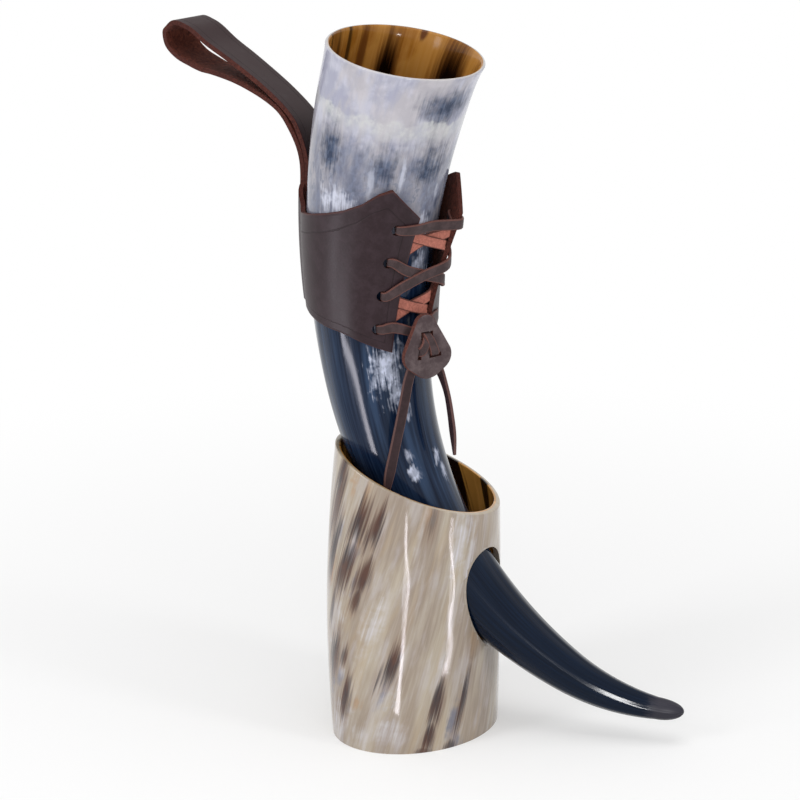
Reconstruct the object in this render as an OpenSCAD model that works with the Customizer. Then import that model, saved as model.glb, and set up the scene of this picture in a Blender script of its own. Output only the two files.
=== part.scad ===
// A drinking horn in a leather belt holster, standing in a stand cut from a second horn.
// The horn curves in the XZ plane, its tip toward +X. The table is z = 0.

/* [Set] */
// Stand axis from the middle of the whole set, along X
stand_x = -1.2; // [-10:0.1:10]
// Stand axis from the middle of the whole set, along Y
stand_y = -5.9; // [-20:0.1:10]
// Gap between pieces that rest on each other
rest_gap = 0.3; // [0.2:0.05:0.5]

/* [Horn curve] */
// Length of the nearly straight mouth end
mouth_len = 156.5; // [145:0.5:165]
// Radius of the bend in the mouth end
mouth_bend_r = 345; // [300:1:420]
// Length of the main bend above the stand's side hole
upper_bend_len = 125.5; // [115:0.5:132]
// Length of the main bend past the side hole
lower_bend_len = 45; // [38:0.5:50]
// Radius of the main bend
main_bend_r = 202; // [190:0.5:215]
// Length of the upturned tip
tip_len = 54.8; // [45:0.2:60]
// Radius of the bend in the tip
tip_bend_r = 103; // [90:1:140]
// Slope of the horn where it passes through the side hole, from straight down
seat_heading = 43.9; // [42:0.1:46]
// Height of the horn's middle line where it passes through the side hole
seat_z = 61.9; // [58:0.1:66]
// Distance of that place from the stand's axis
seat_x = 37.7; // [36:0.1:40]
// Plane of the bend from the stand's axis, toward the back
horn_side = -5; // [-7:0.1:0]

/* [Horn section] */
// Half width of the mouth in the plane of the bend
mouth_r = 35.5; // [32:0.1:38]
// Extra half width at the lip
lip_flare = 0.8; // [0:0.1:1.5]
// Length over which the lip flares
lip_flare_len = 14; // [8:1:30]
// Radius of the blunt tip
tip_r = 3.8; // [2.5:0.1:5]
// How the radius falls from mouth to tip, 1 is a straight cone
taper_power = 0.83; // [0.78:0.01:0.88]
// Share by which the mouth is deeper across the bend than along it
mouth_depth_share = 0.11; // [0:0.01:0.15]
// Tilt of the cut mouth from level, toward the tip
mouth_cut_tilt = 8.9; // [5:0.1:14]
// Length over which the cut's tilt fades out
cut_fade_len = 40; // [25:1:50]
// Wall at the lip
lip_wall = 2; // [1.5:0.1:3]
// Wall at the bottom of the hollow
deep_wall = 4.5; // [3:0.1:6]
// Share of the horn's length that is hollow
hollow_share = 0.62; // [0.5:0.01:0.7]
// Length of the hollow's rounded bottom
hollow_nose = 22; // [12:1:30]

/* [Stand] */
// Longer half width of the stand's oval at its belly
stand_a = 44.6; // [44:0.1:50]
// Shorter half width of the stand's oval at its belly
stand_b = 36.3; // [36:0.1:42]
// Turn of the oval's longer side from the plane of the bend
stand_turn = 56; // [50:1:62]
// Wall of the stand
stand_wall = 2.9; // [2:0.1:3.5]
// Height of the belly
belly_z = 62; // [50:1:75]
// How far the stand's side bows out toward the back of the bend
stand_bow = 0.9; // [0:0.1:1.5]
// Radius of the barrel curve up the wall
barrel_r = 1100; // [900:10:3000]
// Height of the slanted rim over the stand's axis
rim_z = 125.5; // [115:0.5:140]
// Slant of the rim
rim_slant = 25; // [20:0.1:30]
// Direction in which the rim falls, from the plane of the bend
rim_fall = 5.5; // [-10:0.5:10]
// Rounding of the rim's edges
rim_round = 0.7; // [0.3:0.1:1]
// Radius of the side hole for the horn
side_hole_r = 17.6; // [17.4:0.1:18.5]
// Slope of the side hole below level
side_hole_dip = 44; // [42:1:48]

/* [Holster] */
// Thickness of the holster leather
leather_t = 2.1; // [1.8:0.1:2.6]
// Height of the sleeve from its peaks to its lowest points
sleeve_h = 82; // [70:1:90]
// Place of the sleeve's peaks along the horn, from the mouth
sleeve_top = 54; // [45:0.5:65]
// Direction of the lacing, from the plane of the bend
lace_side = -34.5; // [-45:0.5:-30]
// Slant of the lacing gap over the sleeve's height
lace_slant = 26; // [15:1:30]
// Half opening between the two flaps
gap_angle = 16; // [13:0.5:20]
// Gap between the sleeve's sides and the horn
side_gap = 0.6; // [0.5:0.1:1]
// How far the far flap springs off the horn, 1 is straight on from the wrap
flap_spring_share = 0.95; // [0.5:0.05:1]
// Width of the belt loop
loop_w = 22; // [18:0.5:25]
// How far the belt loop stands out from the sleeve
loop_reach = 78; // [72:1:90]
// How far the belt loop rises above the sleeve
loop_rise = 63; // [55:0.5:68]
// Tilt of the belt loop's width, which drops its side away from the lacing's near flap
loop_roll = 16; // [0:1:18]
// How far round from straight opposite the lacing the belt loop sits
loop_turn = 8; // [0:1:12]
// Length of the loop's end inside the sleeve
tongue_len = 36; // [30:1:42]

/* [Lace] */
// Width of the flat lace
lace_w = 5; // [4:0.1:6]
// Thickness of the lace
lace_t = 1.3; // [1:0.1:1.5]
// Radius of the lace holes
eyelet_r = 2.5; // [2.2:0.1:2.8]
// Distance of the first lace holes below the sleeve's peaks
eyelet_top = 20; // [17:0.5:23]
// Distance between lace holes
eyelet_pitch = 16.5; // [15:0.5:18]
// Clearance between the lace and what it passes
lace_gap = 0.25; // [0.15:0.05:0.4]

/* [Toggle] */
// Thickness of the leather toggle
toggle_t = 2.6; // [2:0.1:3.2]
// Width of the toggle
toggle_w = 25; // [22:0.5:30]
// Height of the toggle
toggle_h = 31; // [28:0.5:36]
// Direction that the toggle faces
toggle_side = -50; // [-60:1:-40]
// Distance of the toggle's back from the horn's middle line
toggle_out = 37; // [36:0.1:42]
// Place along the horn where the toggle hangs, from the mouth
toggle_place = 130; // [126:0.5:134]
// Shift of the toggle sideways, toward the far flap
toggle_along = 7.2; // [5:0.1:10]
// Height of the toggle's middle
toggle_z = 197.1; // [193:0.1:200]

/* [Rivets] */
// Radius of a rivet's cap
cap_r = 3.6; // [3:0.1:4.5]
// Height of a rivet's outer cap
cap_h = 1.1; // [0.8:0.1:1.6]
// Thickness of a rivet's flat inner head
head_t = 0.6; // [0.4:0.1:0.8]
// Radius of a rivet's shank
shank_r = 1.5; // [1.2:0.1:1.8]
// Distance between the two rivets
rivet_pitch = 14; // [11:0.5:16]

/* [Hidden] */
// Overrun of cuts past the faces that they open
over = 2;
// Free ends of the lace, hanging from the toggle's lower slits. Points by hand, in the horn's frame.
left_tail = [[4.6, -25, 190.6], [3.6, -25.8, 186.5], [2, -26.4, 181], [0.2, -26.4, 171],
    [-2.2, -26.4, 158], [-4.6, -26.4, 146], [-6.9, -26.4, 134], [-8.7, -26.4, 122]];
right_tail = [[11.6, -18.8, 188.8], [12.9, -16.7, 185.5], [15, -15.2, 181], [17.7, -14.4, 171.5],
    [19.4, -14.4, 161.5], [20.5, -14.4, 152], [21.3, -14.4, 142]];
horn_len = mouth_len + upper_bend_len + lower_bend_len + tip_len;

// Angle turned along an arc
function arc_deg(len, r) = len / r * 180 / PI;
function unit(v) = v / norm(v);
function mix(a, b, t) = a + (b - a) * t;
function clamp01(t) = max(0, min(1, t));
function ease(t) = clamp01(t) * clamp01(t) * (3 - 2 * clamp01(t));
function flatten(lists) = [for (l = lists) each l];

// Middle line of the horn: three arcs through the seat in the stand's side hole.
// The heading is measured from straight down, toward +X.
head_a = seat_heading - arc_deg(upper_bend_len, main_bend_r);
head_b = seat_heading + arc_deg(lower_bend_len, main_bend_r);
function inward(h) = [cos(h), 0, sin(h)];
centre_main = [seat_x, 0, seat_z] + main_bend_r * inward(seat_heading);
centre_mouth = centre_main + (mouth_bend_r - main_bend_r) * inward(head_a);
centre_tip = centre_main + (tip_bend_r - main_bend_r) * inward(head_b);
main_start = mouth_len;
main_end = mouth_len + upper_bend_len + lower_bend_len;
seat_s = mouth_len + upper_bend_len;

function heading(s) =
    s < main_start ? head_a - arc_deg(main_start - s, mouth_bend_r)
    : s < main_end ? head_a + arc_deg(s - main_start, main_bend_r)
    : head_b + arc_deg(s - main_end, tip_bend_r);
function middle(s) =
    s < main_start ? centre_mouth - mouth_bend_r * inward(heading(s))
    : s < main_end ? centre_main - main_bend_r * inward(heading(s))
    : centre_tip - tip_bend_r * inward(heading(s));
function horn_r(s) = tip_r + (mouth_r - tip_r) * pow(max(0, 1 - s / horn_len), taper_power)
    + lip_flare * pow(clamp01(1 - s / lip_flare_len), 2);
function depth_k(s) = 1 + mouth_depth_share * (1 - s / horn_len);
function wall_at(s) = mix(lip_wall, deep_wall, clamp01(s / (hollow_share * horn_len)));
// Slope of the ring's plane, which turns to the cut at the mouth
function ring_slope(s) = heading(s) - (mouth_cut_tilt + heading(0)) * ease(1 - s / cut_fade_len);

function horn_pt(s, r, a) = middle(s)
    + r * (cos(a) * inward(ring_slope(s)) + depth_k(s) * sin(a) * [0, 1, 0]);
// A point off the horn's outer face by a distance
function off_horn(s, a, off) = middle(s)
    + (horn_r(s) + off) * cos(a) * inward(ring_slope(s))
    + (horn_r(s) * depth_k(s) + off) * sin(a) * [0, 1, 0];

// A closed skin from a start point, rings of n points and an end point
module skin(start, rings, end, n) {
    k = len(rings);
    last = k * n + 1;
    faces = concat(
        [for (j = [0:n - 1]) [0, 1 + (j + 1) % n, 1 + j]],
        [for (i = [0:k - 2]) for (j = [0:n - 1]) let (p = 1 + i * n, m = (j + 1) % n)
            each [[p + j, p + m, p + n + j], [p + m, p + n + m, p + n + j]]],
        [for (j = [0:n - 1]) [last - n + j, last - n + (j + 1) % n, last]]);
    polyhedron(points = concat([start], flatten(rings), [end]), faces = faces, convexity = 8);
}

// Horn

horn_sides = 40;
hollow_rings = 20;
hollow_nose_rings = 4;
outer_rings = 40;
tip_rings = 4;
hollow_end = hollow_share * horn_len;
lip_shares = [[0.9, 0.55], [0.5, 0.15], [0.15, 0.45]];

function hollow_r(s) = horn_r(s) - wall_at(s);
function horn_ring(s, r) = [for (j = [0:horn_sides - 1]) horn_pt(s, r, j * 360 / horn_sides)];

horn_rings = concat(
    [for (i = [1:hollow_nose_rings]) let (t = 90 * i / (hollow_nose_rings + 1),
        s = hollow_end - hollow_nose + hollow_nose * cos(t))
        horn_ring(s, hollow_r(hollow_end - hollow_nose) * sin(t))],
    [for (i = [hollow_rings:-1:1]) let (s = lip_wall / 2 + (hollow_end - hollow_nose) * i / hollow_rings)
        horn_ring(s, hollow_r(s))],
    [for (p = lip_shares) horn_ring(lip_wall * p[1] / 2, horn_r(0) - lip_wall * p[0])],
    [for (i = [0:outer_rings]) let (s = lip_wall / 2 + (horn_len - lip_wall / 2) * i / outer_rings)
        horn_ring(s, horn_r(s))],
    [for (i = [1:tip_rings]) let (t = 90 * i / (tip_rings + 1))
        horn_ring(horn_len + tip_r * sin(t), tip_r * cos(t))]);

module drinking_horn() {
    color("slategray")
        on_horn()
            skin(middle(hollow_end), horn_rings, middle(horn_len + tip_r), horn_sides);
}

module on_stand() {
    translate([stand_x, stand_y, 0])
        children();
}
module on_horn() {
    translate([stand_x, stand_y + horn_side, 0])
        children();
}

// Stand

stand_sides = 56;
stand_rows = 9;
function barrel(z) = barrel_r - sqrt(barrel_r * barrel_r - (z - belly_z) * (z - belly_z));
// Distance from the stand's axis to its outer face in a direction
function oval_r(a, p, q) = 1 / sqrt(pow(cos(a) / p, 2) + pow(sin(a) / q, 2));
function stand_reach(a) = oval_r(a - stand_turn, stand_a, stand_b);
function rim_at(p) = rim_z - tan(rim_slant) * (p[0] * cos(rim_fall) + p[1] * sin(rim_fall));
function stand_pt(a, z, inset) = let (p = stand_a - barrel(z) - inset, q = stand_b - barrel(z) - inset,
    x = p * cos(a), y = q * sin(a))
    [x * cos(stand_turn) - y * sin(stand_turn) - stand_bow * sin(90 * z / belly_z),
        x * sin(stand_turn) + y * cos(stand_turn), z];
function stand_row(share, inset, drop) = [for (j = [0:stand_sides - 1]) let (a = j * 360 / stand_sides,
    top = rim_at(stand_pt(a, rim_z, inset)) - drop) stand_pt(a, mix(-over, top, share), inset)];
stand_rings = concat(
    [for (i = [0:stand_rows]) stand_row(i / stand_rows, 0, rim_round)],
    [stand_row(1, rim_round, 0), stand_row(1, stand_wall - rim_round, 0)],
    [for (i = [stand_rows:-1:0]) stand_row(i / stand_rows, stand_wall, rim_round)]);

// A closed skin from rings that meet again, as on a tube with a wall
module ring_skin(rings, n) {
    k = len(rings);
    faces = [for (i = [0:k - 1]) for (j = [0:n - 1]) let (p = i * n, q = ((i + 1) % k) * n, m = (j + 1) % n)
        each [[p + j, q + j, p + m], [p + m, q + j, q + m]]];
    polyhedron(points = flatten(rings), faces = faces, convexity = 8);
}

// The side hole's lowest line lies a rest gap under the horn at the stand's outer face
outer_x = stand_reach(0);
under_z = centre_main[2] - sqrt(pow(main_bend_r + horn_r(seat_s), 2) - pow(centre_main[0] - outer_x, 2));
hole_centre = [outer_x, horn_side, under_z - rest_gap + side_hole_r / cos(side_hole_dip)];

module horn_stand() {
    color("tan")
        on_stand()
            difference() {
                ring_skin(stand_rings, stand_sides);
                translate([0, 0, -2 * over])
                    cylinder(r = stand_a + over, h = 2 * over);
                translate(hole_centre)
                    rotate([0, 90 + side_hole_dip, 0])
                        cylinder(r = side_hole_r, h = 2 * stand_b, center = true, $fn = 64);
            }
}

// Holster: one piece of leather, a laced sleeve whose back runs on into the belt loop

// Lift of the leather off the horn: room for the lace under the flaps and for the tongue at the back
flap_room = lace_t + 3 * lace_gap;
tongue_gap = 0.1;
rivet_fit = 0.2;
back_room = rest_gap + head_t + rivet_fit + leather_t + tongue_gap;
lift_shares = [[0, 1, 0], [0.25, 1, 0], [0.4, 0, 0], [0.8, 0, 0], [0.89, 0, 1], [1, 0, 1]];
function lift(b) = let (x = abs(b) / 180,
    front = lookup(x, [for (p = lift_shares) [p[0], p[1]]]),
    back = lookup(x, [for (p = lift_shares) [p[0], p[2]]]))
    side_gap + (flap_room - side_gap) * ease(front) + (back_room - side_gap) * ease(back);

// Direction of a place on the leather. b is its angle from the middle of the lacing gap,
// positive on the far flap, and s its place along the horn.
sleeve_mid = sleeve_top + sleeve_h / 2;
function leather_a(b, s) = lace_side + b + lace_slant * (sleeve_mid - s) / sleeve_h * (1 - abs(b) / 180)
    + loop_turn * ease(abs(b) / 90 - 1);
// The far flap leaves the horn near this angle from the gap
spring_from = 54;
function spring(b, s) = b < 0 || b > spring_from ? 0
    : (1 / cos(spring_from - b) - 1) * flap_spring_share * mix(1, 0.3, ease((s - sleeve_top) / sleeve_h));
function leather_pt(b, s, off) = let (room = lift(b) + leather_t / 2)
    off_horn(s, leather_a(b, s), room + off + (horn_r(s) + room) * spring(b, s));

// The sleeve's top and bottom edges: angle from the gap and drop, as shares
front_half = 38;
loop_half = asin(loop_w / 2 / (horn_r(sleeve_top) + back_room + leather_t / 2));
top_shares = [[0.089, 0.177], [0.211, 0], [0.278, 0.049], [0.345, 0.113], [0.42, 0.173], [0.51, 0.22],
    [0.62, 0.265], [0.74, 0.3], [0.81, 0.29], [0.86, 0.25], [0.9, 0.21], [1, 0.21]];
bottom_shares = [[0.089, 0], [0.17, 0.04], [0.24, 0.076], [0.32, 0.116], [0.39, 0.134], [0.48, 0.15],
    [0.68, 0.19], [1, 0.2]];
function top_s(b) = sleeve_top + sleeve_h * lookup(abs(b) / 180, top_shares);
function bottom_s(b) = sleeve_top + sleeve_h * (1 - lookup(abs(b) / 180, bottom_shares));
root_s = top_s(180);

front_steps = 4;
side_steps = 17;
loop_steps = 6;
sleeve_rows = 8;
half_angles = concat(
    [for (i = [0:front_steps - 1]) mix(gap_angle, front_half, i / front_steps)],
    [for (i = [0:side_steps]) mix(front_half, 180 - loop_half, i / side_steps)],
    [for (i = [1:loop_steps / 2]) mix(180 - loop_half, 180, i / (loop_steps / 2))]);
half_count = len(half_angles);
// Angles all round the sleeve, from the near flap's edge to the far flap's
angles = concat(-half_angles, [for (i = [half_count - 2:-1:0]) half_angles[i]]);
columns = len(angles);
loop_first = half_count - 1 - loop_steps / 2;
loop_last = half_count - 1 + loop_steps / 2;

// Belt loop: a strap that runs up and out, turns over and comes back down inside the sleeve.
// Each point is its reach out and its rise, as shares of the loop's own.
loop_shares = [[0, 0], [0, 0.08], [0.02, 0.21], [0.07, 0.35], [0.14, 0.46], [0.23, 0.53],
    [0.35, 0.59], [0.49, 0.64], [0.64, 0.67], [0.73, 0.68], [0.82, 0.71], [0.91, 0.75],
    [0.98, 0.82], [1, 0.91], [0.98, 0.95], [0.93, 1], [0.86, 0.99], [0.79, 0.96], [0.68, 0.88],
    [0.54, 0.8], [0.38, 0.7], [0.25, 0.61], [0.12, 0.5], [0.04, 0.4], [0, 0.29], [-0.03, 0.15],
    [-0.03, 0.04], [-0.03, 0]];
loop_sub = 2;
// Rise over which the strap leaves the sleeve's curve, and the share of its roll that is lost at its far end
blend_len = 24;
roll_fade_share = 0.7;
tongue_steps = 6;
loop_way = lace_side + 180 + loop_turn;
loop_dir = [cos(loop_way), sin(loop_way), 0];
loop_side = [-sin(loop_way), cos(loop_way), 0];
loop_root = leather_pt(180, root_s, 0);

function spline(p, i, t) = let (n = len(p) - 1, a = p[max(0, i - 1)], b = p[i], c = p[min(n, i + 1)],
    d = p[min(n, i + 2)])
    0.5 * (2 * b + (c - a) * t + (2 * a - 5 * b + 4 * c - d) * t * t + (3 * b - a - 3 * c + d) * t * t * t);
function resample(p, sub) = concat([for (i = [0:len(p) - 2]) for (j = [0:sub - 1]) spline(p, i, j / sub)],
    [p[len(p) - 1]]);
function tangent(p, i) = unit(p[min(len(p) - 1, i + 1)] - p[max(0, i - 1)]);

loop_route = resample([for (p = loop_shares) [p[0] * loop_reach, p[1] * loop_rise]], loop_sub);
loop_stations = len(loop_route);
function loop_pt(i, b, off) = let (q = loop_route[i], t = tangent(loop_route, i),
    w = (abs(b) - 180) * sign(b) / loop_half * loop_w / 2,
    roll = loop_roll * ease(q[1] / blend_len) * (1 - roll_fade_share * q[0] / loop_reach),
    p = loop_root + q[0] * loop_dir + [0, 0, q[1]] + w * (cos(roll) * loop_side + sin(roll) * [0, 0, 1]),
    free = p + off * (t[1] * loop_dir - [0, 0, t[0]]),
    near = i < loop_stations / 2 ? leather_pt(b, root_s - q[1], off)
        : leather_pt(b, root_s - q[1], -leather_t - tongue_gap - off))
    mix(near, free, ease(q[1] / blend_len));
function tongue_pt(i, b, off) = leather_pt(b, root_s + tongue_len * i / tongue_steps,
    -leather_t - tongue_gap - off);

// Rows of the leather from the sleeve's bottom up, then on along the loop for its columns
function sleeve_at(c, r, off) = let (b = angles[c])
    leather_pt(b, mix(bottom_s(b), top_s(b), r / sleeve_rows), off);
loop_rows = loop_stations - 1 + tongue_steps;
function strap_at(c, r, off) = r < loop_stations ? loop_pt(r, angles[c], off)
    : tongue_pt(r - loop_stations + 1, angles[c], off);

half_t = leather_t / 2;
sleeve_count = columns * (sleeve_rows + 1);
strap_columns = loop_steps + 1;
strap_count = strap_columns * loop_rows;
side_count = sleeve_count + strap_count;
holster_points = [for (off = [half_t, -half_t]) each concat(
    [for (r = [0:sleeve_rows]) for (c = [0:columns - 1]) sleeve_at(c, r, off)],
    [for (r = [1:loop_rows]) for (c = [loop_first:loop_last]) strap_at(c, r, off)])];
// Index of a point: side 0 is the outer face, rows past the sleeve's top are the strap's
function at(side, r, c) = side * side_count + (r <= sleeve_rows ? r * columns + c
    : sleeve_count + (r - sleeve_rows - 1) * strap_columns + c - loop_first);
function quad(a, b, c, d) = [[a, b, c], [a, c, d]];
top_row = sleeve_rows + loop_rows;
whole_row = [0:columns - 2];
strap_row = [loop_first:loop_last - 1];
holster_faces = concat(
    [for (r = [0:top_row - 1]) for (c = r < sleeve_rows ? whole_row : strap_row) each concat(
        quad(at(0, r, c), at(0, r, c + 1), at(0, r + 1, c + 1), at(0, r + 1, c)),
        quad(at(1, r, c), at(1, r + 1, c), at(1, r + 1, c + 1), at(1, r, c + 1)))],
    [for (c = whole_row) each quad(at(0, 0, c), at(1, 0, c), at(1, 0, c + 1), at(0, 0, c + 1))],
    [for (c = whole_row) let (r = sleeve_rows) if (c < loop_first || c >= loop_last)
        each quad(at(0, r, c), at(0, r, c + 1), at(1, r, c + 1), at(1, r, c))],
    [for (r = [0:sleeve_rows - 1]) let (c = columns - 1) each concat(
        quad(at(0, r, 0), at(0, r + 1, 0), at(1, r + 1, 0), at(1, r, 0)),
        quad(at(0, r, c), at(1, r, c), at(1, r + 1, c), at(0, r + 1, c)))],
    [for (r = [sleeve_rows:top_row - 1]) each concat(
        quad(at(0, r, loop_first), at(0, r + 1, loop_first), at(1, r + 1, loop_first), at(1, r, loop_first)),
        quad(at(0, r, loop_last), at(1, r, loop_last), at(1, r + 1, loop_last), at(0, r + 1, loop_last)))],
    [for (c = [loop_first:loop_last - 1])
        each quad(at(0, top_row, c), at(0, top_row, c + 1), at(1, top_row, c + 1), at(1, top_row, c))]);

// Lace holes, square to the leather
eyelet_angle = 32;
eyelets = [for (i = [0:3]) sleeve_top + eyelet_top + i * eyelet_pitch];
module across(b, s) {
    p = leather_pt(b, s, 0);
    d = unit(leather_pt(b, s, leather_t) - p);
    translate(p)
        rotate([0, acos(d[2]), atan2(d[1], d[0])])
            children();
}
module eyelet_holes() {
    for (side = [-1, 1]) {
        for (s = eyelets) {
            across(side * eyelet_angle, s)
                cylinder(r = eyelet_r, h = 2 * leather_t, center = true, $fn = 24);
        }
    }
}

// Rivets through the sleeve's back and the loop's end
rivet_places = [for (i = [0:1]) root_s + tongue_len * 0.25 + i * rivet_pitch];
module rivet_holes() {
    for (s = rivet_places) {
        across(180, s)
            cylinder(r = shank_r + rivet_fit, h = 5 * leather_t, center = true, $fn = 24);
    }
}

module holster() {
    color("#3f3033")
        on_horn()
            difference() {
                polyhedron(points = holster_points, faces = holster_faces, convexity = 10);
                eyelet_holes();
                rivet_holes();
            }
}

module loop_rivets() {
    color("darkgoldenrod")
        on_horn()
            for (s = rivet_places) {
                across(180, s)
                    rotate_extrude($fn = 32)
                        rivet_profile();
            }
}
// Half outline of a rivet: a domed cap outside, a shank and a flat head inside
cap_seat = leather_t / 2 + rivet_fit;
head_seat = leather_t * 1.5 + tongue_gap + rivet_fit;
module rivet_profile() {
    polygon([[0, -head_seat - head_t], [cap_r * 0.85, -head_seat - head_t], [cap_r * 0.85, -head_seat],
        [shank_r, -head_seat], [shank_r, cap_seat], [cap_r, cap_seat], [cap_r, cap_seat + cap_h * 0.35],
        [cap_r * 0.8, cap_seat + cap_h * 0.75], [cap_r * 0.45, cap_seat + cap_h], [0, cap_seat + cap_h]]);
}

// Toggle: a rounded pear of leather with three slits, square to the direction it faces

toggle_n = [cos(toggle_side), sin(toggle_side), 0];
toggle_u = [-sin(toggle_side), cos(toggle_side), 0];
toggle_c = [middle(toggle_place)[0], 0, toggle_z] + toggle_out * toggle_n + toggle_along * toggle_u;
slit_gap = 0.3;
slit_len = lace_w + 4 * slit_gap;
slit_w = lace_t + 2 * slit_gap;
// Each slit: its middle across and up as shares of the toggle, its turn and its width
top_slit_share = [-0.02, 0.17];
left_slit_share = [-0.16, -0.09];
right_slit_share = [0.15, -0.15];
left_slit_turn = 80;
right_slit_turn = 3;
module slit(at, turn, wide) {
    translate([at[0] * toggle_w, at[1] * toggle_h, 0])
        rotate([0, 0, turn])
            cube([slit_len, wide, 3 * toggle_t], center = true);
}
module toggle_outline() {
    hull() {
        translate([-0.05 * toggle_w, 0.33 * toggle_h])
            circle(r = 0.17 * toggle_h, $fn = 28);
        translate([-0.19 * toggle_w, -0.13 * toggle_h])
            circle(r = 0.31 * toggle_w, $fn = 28);
        translate([0.2 * toggle_w, -0.17 * toggle_h])
            circle(r = 0.3 * toggle_w, $fn = 28);
        translate([0.02 * toggle_w, -0.21 * toggle_h])
            circle(r = 0.29 * toggle_h, $fn = 28);
    }
}
module lace_toggle() {
    color("dimgray")
        on_horn()
            translate(toggle_c)
                rotate([90, 0, toggle_side + 90])
                    difference() {
                        translate([0, 0, -toggle_t / 2])
                            linear_extrude(height = toggle_t)
                                toggle_outline();
                        slit(top_slit_share, 0, 2 * slit_w);
                        slit(left_slit_share, left_slit_turn, slit_w);
                        slit(right_slit_share, right_slit_turn, slit_w);
                    }
}

// Lace: a flat ribbon through the holes. Each stop is a place, the way its width lies and its width.

neck_w = 1.5 * eyelet_r;
function stop(p, w, width) = concat(p, w, [width]);
function axial(s) = unit(middle(s - over) - middle(s + over));
out_off = half_t + lace_gap + lace_t / 2;
over_h = flap_room + leather_t + lace_gap + lace_t / 2;
function over_flap(b, s, extra) = stop(leather_pt(b, s, out_off + extra), axial(s), lace_w);
function under_flap(b, s) = stop(leather_pt(b, s, -out_off), axial(s), lace_w);
function in_hole(b, s) = stop(leather_pt(b, s, 0), axial(s), neck_w);
function by_hole_out(b, s, dir) = stop(leather_pt(b + dir, s, out_off), axial(s), mix(neck_w, lace_w, 0.5));
function by_hole_in(b, s, dir) = stop(leather_pt(b + dir, s, -out_off), axial(s), mix(neck_w, lace_w, 0.3));
function mid_gap(s, h) = stop(off_horn(s, leather_a(0, s), h), axial(s), lace_w);
hole_step = 4;

// From inside at one hole, under both flaps across the gap, to inside at the other. side is where it starts.
function inner_run(side, s0, s1, h) = [
    in_hole(side * eyelet_angle, s0),
    by_hole_in(side * eyelet_angle, s0, -side * hole_step),
    under_flap(side * gap_angle, mix(s0, s1, 0.27)),
    mid_gap(mix(s0, s1, 0.5), h),
    under_flap(-side * gap_angle, mix(s0, s1, 0.73)),
    by_hole_in(-side * eyelet_angle, s1, side * hole_step),
    in_hole(-side * eyelet_angle, s1)];
// From outside at one hole over the flaps to outside at the other, without the holes themselves
function outer_run(side, s0, s1, extra) = [
    by_hole_out(side * eyelet_angle, s0, -side * hole_step),
    over_flap(side * gap_angle, mix(s0, s1, 0.27), extra * 0.4),
    mid_gap(mix(s0, s1, 0.5), over_h + extra),
    over_flap(-side * gap_angle, mix(s0, s1, 0.73), extra * 0.4),
    by_hole_out(-side * eyelet_angle, s1, side * hole_step)];
step_h = lace_t + lace_gap;
low_h = lace_t / 2 + 4 * lace_gap;
high_h = low_h + step_h;

// A place on the toggle: share across, share up, distance out from its middle
function on_toggle(at, out) = toggle_c + at[0] * toggle_w * toggle_u
    + [0, 0, at[1] * toggle_h] + out * toggle_n;
face_out = toggle_t / 2 + lace_gap + lace_t / 2;
left_w = cos(left_slit_turn) * toggle_u + [0, 0, sin(left_slit_turn)];
// Gap between the lace and its free ends, which are nodes of their own
joint_gap = 0.15;
// From a tail through its lower slit, up the face, back through the top slit and on to the last hole
function toggle_run(side, tail) = let (low = side < 0 ? left_slit_share : right_slit_share,
    w = side < 0 ? left_w : toggle_u, lean = side * [0, step_h / toggle_h / 2]) [
    stop(tail[0] + joint_gap * unit(tail[0] - tail[1]), toggle_u, lace_w),
    stop(tail[0] + lace_t * unit(tail[0] - tail[1]), toggle_u, lace_w),
    stop(on_toggle(low, -face_out), w, neck_w),
    stop(on_toggle(low, 0), w, neck_w),
    stop(on_toggle(mix(low, top_slit_share, 0.2), face_out), mix(w, toggle_u, 0.3), mix(neck_w, lace_w, 0.5)),
    stop(on_toggle(mix(low, top_slit_share, 0.75) + lean, face_out), toggle_u, neck_w),
    stop(on_toggle(top_slit_share + lean, 0), toggle_u, neck_w),
    stop(on_toggle(top_slit_share + lean, -face_out), toggle_u + [0, 0, 1], neck_w),
    over_flap(side * gap_angle, eyelets[3], 0),
    by_hole_out(side * eyelet_angle, eyelets[3], -side * hole_step)];
function reversed(p) = [for (i = [len(p) - 1:-1:0]) p[i]];

lace_stops = concat(
    toggle_run(-1, left_tail),
    inner_run(-1, eyelets[3], eyelets[2], low_h),
    outer_run(1, eyelets[2], eyelets[1], 0),
    inner_run(-1, eyelets[1], eyelets[0], low_h),
    outer_run(1, eyelets[0], eyelets[0], 0),
    inner_run(-1, eyelets[0], eyelets[1], high_h),
    outer_run(1, eyelets[1], eyelets[2], step_h),
    inner_run(-1, eyelets[2], eyelets[3], high_h),
    reversed(toggle_run(1, right_tail)));

function bit(p, a, b) = [for (i = [a:b]) p[i]];
// A ribbon with eight sides along its stops
module ribbon(stops, sub) {
    path = resample(stops, sub);
    n = len(path);
    spots = [for (p = path) bit(p, 0, 2)];
    edge = lace_t * 0.25;
    rings = [for (i = [0:n - 1]) let (t = tangent(spots, i), h = bit(path[i], 3, 5),
        w = unit(h - (h * t) * t), u = cross(w, t), x = path[i][6] / 2, y = lace_t / 2)
        [for (q = [[x, y - edge], [x - edge, y], [edge - x, y], [-x, y - edge],
            [-x, edge - y], [edge - x, -y], [x - edge, -y], [x, edge - y]]) spots[i] + q[0] * w + q[1] * u]];
    skin(spots[0], rings, spots[n - 1], 8);
}

module lace() {
    color("saddlebrown")
        on_horn()
            ribbon(lace_stops, 2);
}

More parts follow.
